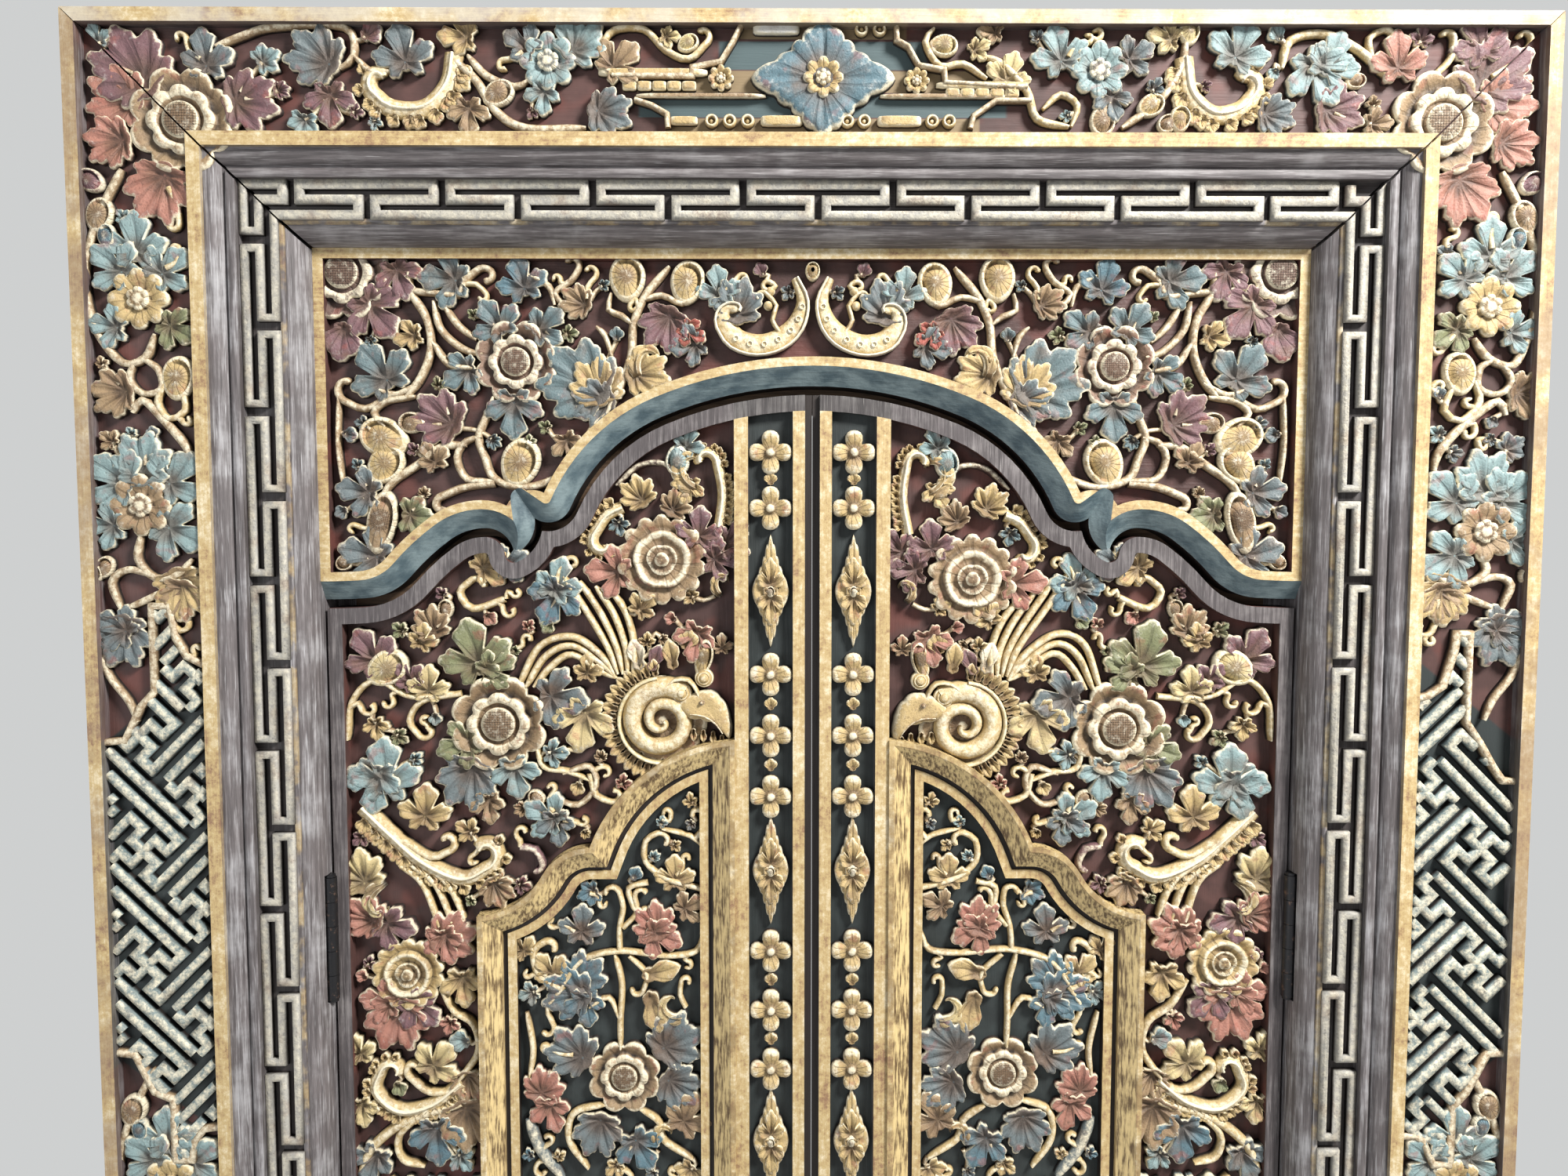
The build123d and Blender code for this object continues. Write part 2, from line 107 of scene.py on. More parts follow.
# %% Camera
camera_data = bpy.data.cameras.new("camera")
camera_data.sensor_width = 36
camera_data.lens = 27.04
camera_data.clip_start = 0.05
camera = placed("camera", camera_data)
camera.location = (-0.0363, -1.1869, 1.8866)
camera.rotation_euler = (math.radians(90 - 3.86), 0, math.radians(-0.38))
bpy.context.scene.camera = camera
print("lens", round(camera_data.lens, 2), "mm")

# %% [markdown]
# ## Light
# A broad lamp above and to the right gives the carving its shadows. A weaker one on the left and a pale
# world fill them, as open shade does. A lone sun would cut the relief harder than the photograph shows.
# The camera sees a plain grey in place of that pale sky.

# %% Lamps and world
def area_lamp(name, place, target, size, watts, colour=(1, 1, 1)):
    """A round lamp aimed at a target."""
    data = bpy.data.lights.new(name, "AREA")
    data.shape = "DISK"
    data.size = size
    data.energy = watts
    data.color = colour
    lamp = placed(name, data)
    lamp.location = place
    aim = Vector(target) - Vector(place)
    lamp.rotation_euler = aim.to_track_quat("-Z", "Y").to_euler()


area_lamp("key", (1.6, -1.6, 3.6), (0, 0, 1.6), 0.8, 205, (1, 0.98, 0.95))
area_lamp("fill", (-2.2, -2.6, 1.6), (0, 0, 1.2), 2.0, 36, (0.94, 0.97, 1))
area_lamp("rim", (1.5, 2.6, 3.0), (0, 0, 1.2), 2.0, 30)

scene = bpy.context.scene
scene.view_settings.view_transform = "Standard"
world = bpy.data.worlds.new("studio")
scene.world = world
world.use_nodes = True
sky = world.node_tree
soft_light = sky.nodes["Background"]
soft_light.inputs["Color"].default_value = (0.86, 0.88, 0.9, 1)
soft_light.inputs["Strength"].default_value = 0.38
backdrop = sky.nodes.new("ShaderNodeBackground")
backdrop.inputs["Color"].default_value = (0.62, 0.63, 0.63, 1)
seen = sky.nodes.new("ShaderNodeLightPath")
choose = sky.nodes.new("ShaderNodeMixShader")
sky.links.new(seen.outputs["Is Camera Ray"], choose.inputs["Fac"])
sky.links.new(soft_light.outputs[0], choose.inputs[1])
sky.links.new(backdrop.outputs[0], choose.inputs[2])
sky.links.new(choose.outputs[0], sky.nodes["World Output"].inputs["Surface"])
print("lamps", [lamp.name for lamp in bpy.data.lights])

# %% [markdown]
# ## Shader sums
# A painter's recipe reads best as a sum, so one small class lets a node's socket take part in Python
# sums. The same trees could be wired up node by node, but a recipe would then run over many pages.

# %% A socket that can be added and multiplied
class Wire:
    """A socket of a material's node tree."""

    def __init__(self, tree, socket=None):
        self.tree = tree
        self.socket = socket

    def node(self, kind, settings=(), inputs=(), output=0):
        """Add any node: first its settings, then its sockets' values or links."""
        made = self.tree.nodes.new(kind)
        for key, value in dict(settings).items():
            setattr(made, key, value)
        for key, value in dict(inputs).items():
            if isinstance(value, Wire):
                self.tree.links.new(value.socket, made.inputs[key])
            else:
                made.inputs[key].default_value = value
        return Wire(self.tree, made.outputs[output])

    def math(self, operation, *values):
        return self.node("ShaderNodeMath", {"operation": operation}, dict(enumerate(values)))

    def __add__(self, other):
        return self.math("ADD", self, other)

    def __sub__(self, other):
        return self.math("SUBTRACT", self, other)

    def __rsub__(self, other):
        return self.math("SUBTRACT", other, self)

    def __mul__(self, other):
        return self.math("MULTIPLY", self, other)

    def __pow__(self, other):
        return self.math("POWER", self, other)

    __radd__ = __add__
    __rmul__ = __mul__

    def least(self, other):
        """The smaller of two values."""
        return self.math("MINIMUM", self, other)

    def most(self, other):
        """The larger of two values."""
        return self.math("MAXIMUM", self, other)

    def size(self):
        """The value without its sign."""
        return self.math("ABSOLUTE", self)

    def step(self, low, high):
        """Rise smoothly from 0 at low to 1 at high; high may be the smaller."""
        ends = {"Value": self, "From Min": low, "From Max": high}
        return self.node("ShaderNodeMapRange", {"interpolation_type": "SMOOTHSTEP"}, ends)

    def between(self, low, high, soft):
        """1 where the value lies between low and high."""
        return self.step(low - soft, low + soft) * self.step(high + soft, high - soft)

    def blend(self, low, high):
        """Colours mixed by this value."""
        low = low if isinstance(low, Wire) else (*low, 1)
        high = high if isinstance(high, Wire) else (*high, 1)
        return self.node("ShaderNodeMix", {"data_type": "RGBA"}, {0: self, 6: low, 7: high}, 2)

    def part(self, axis):
        """One axis of a vector."""
        return self.node("ShaderNodeSeparateXYZ", {}, {0: self}, "XYZ".index(axis))


class Paint:
    """A material under way: its place and noise wires, then one call that finishes it."""

    def __init__(self, name):
        self.material = bpy.data.materials.new(name)
        self.material.use_nodes = True
        self.tree = self.material.node_tree
        self.shader = self.tree.nodes["Principled BSDF"]
        self.start = Wire(self.tree)
        self.place = self.start.node("ShaderNodeTexCoord", output="Object")
        self.x = self.place.part("X") * (1 / MM)
        self.y = self.place.part("Y") * (1 / MM)
        self.z = self.place.part("Z") * (1 / MM)
        self.facing = self.start.node("ShaderNodeTexCoord", output="Normal").part("Y")

    def grain(self, cell, stretch=(1, 1, 1), detail=3, rough=0.55):
        """Noise with blobs of about one cell in millimetres, drawn out along an axis."""
        scale = tuple(1 / (cell * MM * s) for s in stretch)
        place = self.start.node("ShaderNodeMapping", {}, {"Vector": self.place, "Scale": scale})
        inputs = {"Vector": place, "Scale": 1.0, "Detail": detail, "Roughness": rough}
        return self.start.node("ShaderNodeTexNoise", {}, inputs)

    def attribute(self, name, output="Fac"):
        return self.start.node("ShaderNodeAttribute", {"attribute_name": name}, output=output)

    def finish(self, colour, rough, height=None, bump=1.0, metal=None):
        """Link the wires to the surface; bump is the depth in millimetres of a height of one."""
        links = {"Base Color": colour, "Roughness": rough}
        if metal is not None:
            links["Metallic"] = metal
        if height is not None:
            inputs = {"Height": height, "Distance": bump * MM, "Strength": 1.0}
            links["Normal"] = self.start.node("ShaderNodeBump", {}, inputs)
        for key, value in links.items():
            if isinstance(value, Wire):
                self.tree.links.new(value.socket, self.shader.inputs[key])
            elif key == "Base Color":
                self.shader.inputs[key].default_value = (*value, 1)
            else:
                self.shader.inputs[key].default_value = value
        return self.material

# %% [markdown]
# ## The painter's box
# The colours were read off: an oxide red ground, a dark green-grey ground, blue-green, red, plum and
# salmon for leaves, and gold leaf that has worn to a pale cream on every edge. A painter lays each colour
# on its own leaf with a brush. Here every motif carries its colour with it, so that one recipe serves
# them all and wears them all alike.

# %% Colours
MAROON = (0.050, 0.023, 0.020)
GREEN_GREY = (0.015, 0.020, 0.020)
TEAL = (0.105, 0.150, 0.158)
BLUE = (0.080, 0.142, 0.170)
RED = (0.280, 0.070, 0.050)
PLUM = (0.150, 0.078, 0.085)
SALMON = (0.330, 0.150, 0.110)
GREEN = (0.170, 0.180, 0.090)
GOLD = (0.430, 0.315, 0.145)
TAN = (0.275, 0.190, 0.105)
BROWN = (0.150, 0.085, 0.048)
STRAW = (0.500, 0.400, 0.200)
CREAM = (0.730, 0.660, 0.490)
BONE = (0.640, 0.630, 0.590)
TIMBER = (0.150, 0.132, 0.134)
BARE_WOOD = (0.150, 0.090, 0.050)
# SHADE is the near-black of painted shade in grooves, gaps and creases, and of dark specks of dirt.
SHADE = (0.018, 0.012, 0.010)
SEA = (0.200, 0.280, 0.280)
SLATE = (0.115, 0.140, 0.145)
PALE_BAR = (0.270, 0.260, 0.235)
LATTICE_GREY = (0.150, 0.195, 0.195)
print("darkest", SHADE, "palest", CREAM)

# %% Painted and gilded carving
def carving_paint(name, worn):
    """Worn paint and painted shade on carved wood; each motif's own coordinates guide its gouge lines."""
    p = Paint(name)
    tint = p.attribute("tint", "Color")
    rim = p.attribute("rim")
    lift = p.attribute("lift")
    own = p.attribute("own", "Vector")
    across, along, hatched = own.part("X"), own.part("Y"), own.part("Z")
    broad = p.grain(26)
    fine = p.grain(2.2, detail=4)
    chip = p.grain(6, detail=5, rough=0.7)
    from_heart = (across * across + along * along) ** 0.5
    spread = across.math("ARCTAN2", across, along + 0.05)
    gouge = across.math("SINE", spread * 15 + from_heart * 2.5)
    gouge = gouge.step(0.55, 1.0) * from_heart.step(0.12, 0.3) * from_heart.step(1.0, 0.8)
    net = across.math("SINE", across * 62) * across.math("SINE", along * 62)
    net = net.size().step(0.0, 0.3) * hatched * from_heart.step(0.34, 0.30)
    cut = gouge * 0.4 + (hatched * from_heart.step(0.34, 0.30) - net) * 0.8
    colour = (broad.step(0.50, 0.72) * 0.5).blend(tint, BROWN)
    touched = p.grain(17, detail=2).step(0.57, 0.68) * from_heart.step(0.3, 0.6)
    colour = (touched * 0.4).blend(colour, RED)
    root = from_heart.step(0.50, 0.16) * from_heart.step(0.01, 0.03)
    colour = (root * 0.65).blend(colour, tuple(0.7 * c for c in BROWN))
    pale = (lift + (chip - 0.5) * 1.4 + from_heart * 0.25).step(1.0, 1.5)
    colour = (pale * (0.5 * worn)).blend(colour, BONE)
    colour = (fine.step(0.44, 0.30) * 0.4).blend(colour, SHADE)
    # Painted shade darkens the gouge lines and the hatched hearts of the flowers, as shade darkens a groove.
    colour = (cut * 0.6).blend(colour, SHADE)
    edge = (rim + (chip - 0.5) * 1.3).step(0.48, 0.92)
    colour = (edge * (0.85 * worn)).blend(colour, CREAM)
    # Painted shade: walls and valleys grow darker the lower they lie, as shade gathers near the ground.
    low = (lift + (chip - 0.5) * 0.3).step(0.68, 0.20)
    colour = low.blend(colour, SHADE)
    height = fine + chip * 0.8 - cut * 1.6
    return p.finish(colour, 0.62 - edge * 0.15, height, 0.7)


painted_carving = carving_paint("painted_carving", 1.0)
painted_fret = carving_paint("painted_fret", 0.4)
print("nodes in the carving's paint", len(painted_carving.node_tree.nodes))

# %% [markdown]
# ## Paint on the joinery
# The CAD parts keep their meshes. Their paint follows where a point lies: how far in from the frame's
# outer edge, or how deep behind its front. Behind the leaves everything is bare timber. The meshes could
# be split by colour instead, but a rule of place keeps each line crisp and each part whole.

# %% Timber and gilding recipes
def timber(p, along, base, pale):
    """Weathered painted timber with its grain drawn out along one axis."""
    stretch = {"X": (18, 1, 1), "Z": (1, 1, 18)}[along]
    fibre = p.grain(3.2, stretch, detail=5, rough=0.65)
    patch = p.grain(45, detail=4, rough=0.6)
    colour = fibre.step(0.30, 0.72).blend(tuple(0.45 * c for c in base), base)
    colour = ((patch + (fibre - 0.5) * 0.9).step(0.42, 0.86) * 0.7).blend(colour, pale)
    scratch = p.grain(1.3, tuple(30 if k > 1 else 1 for k in stretch), detail=2)
    colour = (scratch.step(0.60, 0.72) * 0.55).blend(colour, tuple(1.25 * c for c in pale))
    colour = (scratch.step(0.38, 0.28) * 0.6).blend(colour, tuple(0.25 * c for c in base))
    return colour, fibre


def gilding(p, fibre):
    """Gold leaf on a brown ground, rubbed to cream where hands and weather reach."""
    patch = p.grain(9, detail=6, rough=0.8)
    broad = p.grain(90, detail=2)
    worn = patch + (fibre - 0.5) * 0.35 + (broad - 0.5) * 0.5
    colour = worn.step(0.26, 0.50).blend(tuple(1.5 * c for c in BROWN), GOLD)
    return (worn.step(0.46, 0.78) * 0.8).blend(colour, CREAM)


def back_bare(p, colour, fibre):
    """Bare timber wherever the back shows."""
    bare = fibre.step(0.25, 0.75).blend(tuple(0.5 * c for c in BARE_WOOD), BARE_WOOD)
    return p.facing.step(0.3, 0.6).most(p.y.step(42, 46)).blend(colour, bare)


def red_ground(p):
    """Oxide red behind the carving, brighter where the dirt has been washed off."""
    ground = p.grain(30).step(0.35, 0.7).blend(MAROON, tuple(1.7 * c for c in MAROON))
    return (p.grain(48, detail=2).step(0.52, 0.66) * 0.45).blend(ground, tuple(0.5 * c for c in RED))


def frame_paint(along):
    """The frame's front, from its outer edge inwards: strip, carved band, gilt roll, fret groove and lip."""
    p = Paint("frame_" + along)
    inset = (door_half - p.x.size()).least(door_top - p.z)
    pale = {"X": (0.30, 0.29, 0.29), "Z": (0.38, 0.38, 0.39)}[along]
    rubbed_tone = {"X": (0.46, 0.44, 0.39), "Z": (0.20, 0.135, 0.095)}[along]
    colour, fibre = timber(p, along, TIMBER, pale)
    gold = gilding(p, fibre)
    rubbed = (p.grain(60, detail=3).step(0.36, 0.6) * 0.6).blend(gold, rubbed_tone)
    rubbed = p.y.step(-50, -54).blend(colour, rubbed)
    edge_strip = (inset.step(12.5, 13.2)).blend(rubbed, colour)
    band = red_ground(p)
    slant = (p.x.size() - 590) * 0.8
    down = door_top - p.z
    lattice_top, lattice_length = 608, 484
    for first in (lattice_top, lattice_top + JAMB_RHYTHM):
        last = first + lattice_length
        lattice = (down - slant).step(first, first + 4) * (down + slant).step(last, last - 4)
        band = lattice.blend(band, tuple(1.3 * c for c in GREEN_GREY))
    aside = (p.x - CARTOUCHE_MIDDLE).size()
    plate = aside.step(176, 172) * down.between(72, 94, 0.4)
    plate = plate + aside.step(100, 96) * down.between(24, 50, 0.4)
    band = plate.blend(band, (0.055, 0.085, 0.090))
    strip = aside.step(80, 77) * down.between(12, 22, 0.3)
    for reach, high, low in ((190, 51, 71), (150, 95, 107)):
        strip = strip + aside.step(reach, reach - 3) * down.between(high, low, 0.3)
    band = strip.blend(band, (0.200, 0.145, 0.078))
    band_span, roll_span, fret_span, lip_span = (13, 110.8), (111, 124), (150, 186), (186, 191)
    colour = inset.between(*band_span, 0.2).blend(edge_strip, band)
    colour = inset.between(*roll_span, 0.2).blend(colour, gold)
    # Painted shade: the fret's deep groove is darkened almost to black.
    colour = (inset.between(*fret_span, 0.3) * 0.8).blend(colour, SHADE)
    lip = inset.between(*lip_span, 0.5) * p.grain(20).step(0.4, 0.6)
    colour = (lip * 0.6).blend(colour, gold)
    colour = back_bare(p, colour, fibre)
    return p.finish(colour, 0.62, fibre, 0.5)


def tympanum_paint():
    """A red ground in a gilt edge, a blue-green bevel round it, and painted shade under the arch."""
    p = Paint("head_panel")
    fibre = p.grain(3.0, (14, 1, 1), detail=5)
    gold = gilding(p, fibre)
    ground = red_ground(p)
    colour = p.y.step(-7.6, -6.8).blend(gold, ground)
    slope = p.facing.between(-0.93, -0.30, 0.02) * p.y.step(7.4, 7.0)
    bevel = p.grain(9, (3, 1, 3), detail=4).step(0.32, 0.68).blend((0.045, 0.075, 0.09), (0.15, 0.20, 0.21))
    # Painted shade on the faces under the arch, deep behind its front edge.
    under = (p.facing.size()).step(0.2, 0.1) * p.y.step(4.6, 5.0) * p.z.step(2118, 2114)
    colour = slope.blend(colour, bevel)
    colour = (under * p.x.size().step(481, 478)).blend(colour, SHADE)
    colour = back_bare(p, colour, fibre)
    return p.finish(colour, 0.6, fibre + p.grain(5) * 0.8, 0.5)


def leaf_paint():
    """Timber in front, red in the sunk field, green-grey inside the moulding, painted shade deeper still."""
    p = Paint("leaf_board")
    colour, fibre = timber(p, "Z", (0.105, 0.090, 0.092), (0.26, 0.24, 0.235))
    ground = red_ground(p)
    inner = p.grain(24).step(0.35, 0.7).blend(GREEN_GREY, tuple(1.6 * c for c in GREEN_GREY))
    colour = p.y.step(1.0, 2.0).blend(colour, ground)
    colour = p.y.step(18.5, 19.5).blend(colour, inner)
    # Painted shade on the faces that lie deeper than the panel's ground, in the leaf's gaps and edges.
    colour = p.y.step(23.6, 24.2).blend(colour, SHADE)
    colour = back_bare(p, colour, fibre)
    return p.finish(colour, 0.62, fibre, 0.5)


def stile_paint():
    """Gilt edges, a green-grey sunk strip, and painted shade in the gap where the leaves meet."""
    p = Paint("meeting_stile")
    dark, fibre = timber(p, "Z", (0.075, 0.066, 0.066), (0.2, 0.19, 0.18))
    gold = gilding(p, fibre)
    ground = p.grain(24).step(0.35, 0.7).blend(GREEN_GREY, tuple(1.5 * c for c in GREEN_GREY))
    colour = p.y.step(-2.4, -1.2).blend(gold, dark)
    sunk = p.x.size().between(20, 64, 0.4) * p.y.step(1.0, 3.0)
    colour = sunk.blend(colour, ground)
    # Painted shade: the gap where the leaves meet is near-black.
    colour = p.x.size().step(7.4, 6.9).blend(colour, SHADE)
    colour = back_bare(p, colour, fibre)
    return p.finish(colour, 0.58, fibre, 0.5)


def moulding_paint():
    """Streaky gold with a rubbed brown top, and painted shade in the crease where it meets its panel."""
    p = Paint("gilt_moulding")
    fibre = p.grain(2.5, (1, 1, 8), detail=5)
    patch = p.grain(22, detail=5, rough=0.65)
    streak = (patch * 0.5 + fibre * 0.9 - 0.2).step(0.34, 0.62)
    colour = streak.blend((0.10, 0.060, 0.025), (0.58, 0.44, 0.21))
    gold = gilding(p, fibre)
    top = (patch.step(0.58, 0.42) * 0.6).blend(gold, (0.17, 0.11, 0.05))
    colour = p.y.step(-4.9, -5.7).blend(colour, top)
    colour = p.y.between(9.2, 10.4, 0.3).blend(colour, gold)
    # Painted shade in the crease where the moulding meets its panel.
    colour = (p.y.step(11.6, 12.4)).blend(colour, SHADE)
    return p.finish(colour, 0.5, fibre, 0.35)


def bare_paint(name, tone):
    """Unpainted timber, with its grain along X."""
    p = Paint(name)
    fibre = p.grain(3.0, (14, 1, 1), detail=5)
    colour = fibre.step(0.3, 0.72).blend(tuple(0.45 * c for c in tone), tone)
    return p.finish(colour, 0.7, fibre, 0.5)


def iron_paint():
    """Blackened iron, with rust where the black has gone."""
    p = Paint("black_iron")
    worn = p.grain(7, detail=5, rough=0.7).step(0.55, 0.72)
    colour = worn.blend((0.018, 0.018, 0.02), (0.10, 0.055, 0.035))
    return p.finish(colour, 0.42 + worn * 0.3, p.grain(1.5), 0.15, metal=0.5 - worn * 0.5)


paints = {
    "frame_head": frame_paint("X"),
    "frame_jamb": frame_paint("Z"),
    "tympanum": tympanum_paint(),
    "leaf_board": leaf_paint(),
    "meeting_stile": stile_paint(),
    "panel_moulding": moulding_paint(),
    "hinge": iron_paint(),
    "": bare_paint("bare_timber", BARE_WOOD),
}
for name, part in nodes.items():
    paint = next(p for prefix, p in paints.items() if name.startswith(prefix))
    part.data.materials.clear()
    part.data.materials.append(paint)
print("painted", len(nodes), "joinery parts")

# %% [markdown]
# ## Motifs
# A carver works from a small stock of forms: a lobed leaf, a layered flower, a hooded bud, a curling
# plume. Each is a height map over its own crisp outline, one unit in size, with a wall down to the
# ground. The outline is cut in rings round a heart, so lobes, petals and scallops all come from one
# radius rule. Each leaf could be sculpted by hand, but a rule gives every copy the same clean edge.

# %% Rings round a heart
def ring_form(rings, spokes):
    """Join rings of points, given outwards as (x, y, z, rim), into one surface."""
    grid = np.array([np.broadcast_arrays(*ring) for ring in rings]).transpose(0, 2, 1)
    heart = grid[0].mean(0, keepdims=True)
    points = np.concatenate([heart, grid.reshape(-1, 4)])
    index = 1 + np.arange(len(rings) * spokes).reshape(len(rings), spokes)
    step = np.roll(index, -1, 1)
    faces = [(0, b, a) for a, b in zip(index[0], step[0])]
    for inner, outer, inner_next, outer_next in zip(index, index[1:], step, step[1:]):
        faces += list(zip(inner, inner_next, outer_next, outer))
    return points, faces


def around(spokes):
    """Angles of the spokes, measured clockwise from the tip."""
    return np.arange(spokes) * 2 * math.pi / spokes


def ring_at(angle, radius, height, rim):
    """One ring of a form; rim says how worn it is, from 0 to 1."""
    return (radius * np.sin(angle), radius * np.cos(angle), height, rim)

# %% Lobed leaf
def lobed_leaf(lobes, spokes, veins=0.10):
    """A leaf of round lobes, each a tip disc between two side discs; a lobe is (angle, length, breadth)."""
    angle = around(spokes)

    def disc_reach(turn, far, radius):
        """How far each spoke runs before it leaves a disc."""
        t = angle - math.radians(turn)
        inside = radius**2 - (far * np.sin(t)) ** 2
        return np.where((inside > 0) & (np.cos(t) > 0), far * np.cos(t) + np.sqrt(np.maximum(inside, 0)), 0)

    discs, lobe_reach = [], [np.zeros(spokes)]
    for turn, length, breadth in lobes:
        spread = 27 * breadth
        three = [
            disc_reach(turn, 0.74 * length, 0.26 * length * breadth),
            disc_reach(turn - spread, 0.62 * length, 0.24 * length * breadth),
            disc_reach(turn + spread, 0.62 * length, 0.24 * length * breadth),
        ]
        discs += three
        lobe_reach.append(np.max(three, 0))
    off_tip = np.degrees(np.minimum(angle, 2 * math.pi - angle))
    web = 0.36 * np.clip(2.4 - off_tip / 75, 0.6, 1)
    reach = np.maximum(np.max(discs, 0), web)
    apart = [reach - np.sort(layers, 0)[-2] for layers in (discs, lobe_reach)]
    nearest = np.argmax(lobe_reach[1:], 0)
    axis = np.radians([lobes[n][0] for n in nearest])
    away = np.abs(np.sin(angle - axis)) * reach
    rings = []
    for share, swell, rim in (
        (0.24, 0.56, 0.0), (0.56, 0.74, 0.0), (0.82, 0.88, 0.15), (0.95, 0.84, 0.6), (1.0, 0.70, 1.0),
    ):
        scallop = np.exp(-((apart[0] / 0.07) ** 2)) * share**3
        valley = np.exp(-((apart[1] / 0.12) ** 2)) * share
        vein = np.exp(-((away * share / 0.045) ** 2)) * (share < 0.9)
        height = swell - 0.12 * scallop - 0.26 * valley - veins * vein
        rings.append(ring_at(angle, reach * share, height, rim - 0.3 * valley + 0.15 * vein))
    rings.append(ring_at(angle, reach * 1.02, 0.0, 0.0))
    return ring_form(rings, spokes)

# %% Layered flower
def layered_flower(layers, spokes):
    """Rings of petals; each row is (radius, petals, notch, half turn, height, rim)."""
    angle = around(spokes)
    rings = []
    for radius, petals, notch, half_turn, height, rim in layers:
        wave = np.abs(np.cos(petals * angle / 2 + half_turn * math.pi / 2))
        edge = radius * (1 - notch * (1 - wave) ** 1.4)
        dip = 1.5 * notch * (1 - wave) ** 1.5
        rings.append(ring_at(angle, edge, height - dip * (height > 0.05), rim * np.ones(spokes)))
    return ring_form(rings, spokes)


GRAND_FLOWER = (
    (0.12, 8, 0, 0, 1.00, 0.5), (0.26, 8, 0, 0, 0.96, 0.5), (0.34, 8, 0, 0, 0.86, 0.9),
    (0.35, 8, 0, 0, 0.50, 0.0), (0.41, 8, 0, 0, 0.50, 0.0), (0.45, 8, 0.05, 0, 0.84, 0.9),
    (0.54, 8, 0.09, 0, 0.94, 0.7), (0.64, 8, 0.15, 0, 0.86, 0.9),
    (0.65, 8, 0.15, 0, 0.40, 0.0), (0.72, 8, 0.06, 1, 0.46, 0.0), (0.82, 8, 0.08, 1, 0.66, 0.15),
    (0.93, 8, 0.13, 1, 0.86, 0.7), (1.0, 8, 0.17, 1, 0.72, 1.0), (1.01, 8, 0.17, 1, 0.0, 0.0),
)
RUFFLED_FLOWER = (
    (0.08, 3, 0, 0, 0.95, 0.5), (0.16, 3, 0.1, 0, 0.90, 0.9), (0.17, 3, 0.1, 0, 0.66, 0.0),
    (0.26, 3, 0.1, 1, 0.70, 0.5), (0.34, 3, 0.1, 1, 0.86, 0.9), (0.35, 3, 0.1, 1, 0.60, 0.0),
    (0.47, 5, 0.05, 0, 0.66, 0.5), (0.56, 5, 0.05, 0, 0.96, 1.0), (0.64, 5, 0.05, 0, 0.90, 0.6),
    (0.65, 5, 0.03, 0, 0.46, 0.0), (0.74, 14, 0.03, 0, 0.56, 0.1), (0.92, 14, 0.09, 0, 0.86, 0.6),
    (1.0, 14, 0.17, 0, 0.72, 1.0), (1.01, 14, 0.17, 0, 0.0, 0.0),
)
SMALL_ROSETTE = (
    (0.10, 6, 0, 0, 0.92, 0.9), (0.20, 6, 0, 0, 0.84, 0.5), (0.30, 6, 0.12, 0, 0.92, 0.8),
    (0.38, 6, 0.14, 0, 0.84, 0.9), (0.40, 6, 0.14, 0, 0.55, 0.0), (0.50, 8, 0, 0, 0.60, 0.2),
    (0.68, 8, 0.06, 0, 0.82, 0.4), (0.90, 8, 0.16, 0, 0.90, 0.5), (1.0, 8, 0.24, 0, 0.74, 1.0),
    (1.01, 8, 0.24, 0, 0.0, 0.0),
)
QUATREFOIL = (
    (0.13, 4, 0, 0, 0.96, 0.9), (0.20, 4, 0, 0, 0.80, 0.6), (0.25, 4, 0, 0, 0.52, 0.0),
    (0.44, 4, 0.14, 0, 0.74, 0.3), (0.74, 4, 0.32, 0, 0.96, 0.6), (0.93, 4, 0.46, 0, 0.90, 0.8),
    (1.0, 4, 0.50, 0, 0.66, 1.0), (1.01, 4, 0.50, 0, 0.0, 0.0),
)
CHEEK = (
    (0.07, 1, 0, 0, 0.95, 0.8), (0.16, 1, 0, 0, 0.60, 0.1), (0.30, 1, 0, 0, 0.74, 0.6),
    (0.36, 1, 0, 0, 0.56, 0.1), (0.52, 1, 0, 0, 0.92, 0.9), (0.60, 1, 0, 0, 0.90, 0.6),
    (0.64, 1, 0, 0, 0.52, 0.0), (0.72, 11, 0.03, 0, 0.80, 0.6), (0.79, 11, 0.05, 0, 0.62, 0.1),
    (0.93, 11, 0.08, 0, 0.84, 0.7), (1.0, 11, 0.12, 0, 0.70, 1.0), (1.01, 11, 0.12, 0, 0.0, 0.0),
)
RING = (
    (0.20, 1, 0, 0, 0.70, 0.6), (0.34, 1, 0, 0, 0.40, 0.0), (0.50, 1, 0, 0, 0.44, 0.0),
    (0.62, 1, 0, 0, 0.95, 0.9), (0.84, 1, 0, 0, 0.95, 0.7), (1.0, 1, 0, 0, 0.60, 0.4),
    (1.01, 1, 0, 0, 0.0, 0.0),
)
KNOB = (
    (0.35, 1, 0, 0, 0.98, 0.6), (0.75, 1, 0, 0, 0.84, 0.6), (0.97, 1, 0, 0, 0.50, 0.9),
    (1.0, 1, 0, 0, 0.0, 0.0),
)
EYE = (
    (0.25, 1, 0, 0, 1.00, 0.7), (0.42, 1, 0, 0, 0.92, 0.3), (0.48, 1, 0, 0, 0.80, 0.0),
    (0.56, 1, 0, 0, 0.88, 0.9), (0.70, 1, 0, 0, 0.82, 0.2), (0.76, 1, 0, 0, 0.70, 0.0),
    (0.84, 1, 0, 0, 0.76, 0.9), (0.98, 1, 0, 0, 0.55, 0.7), (1.0, 1, 0, 0, 0.0, 0.0),
)


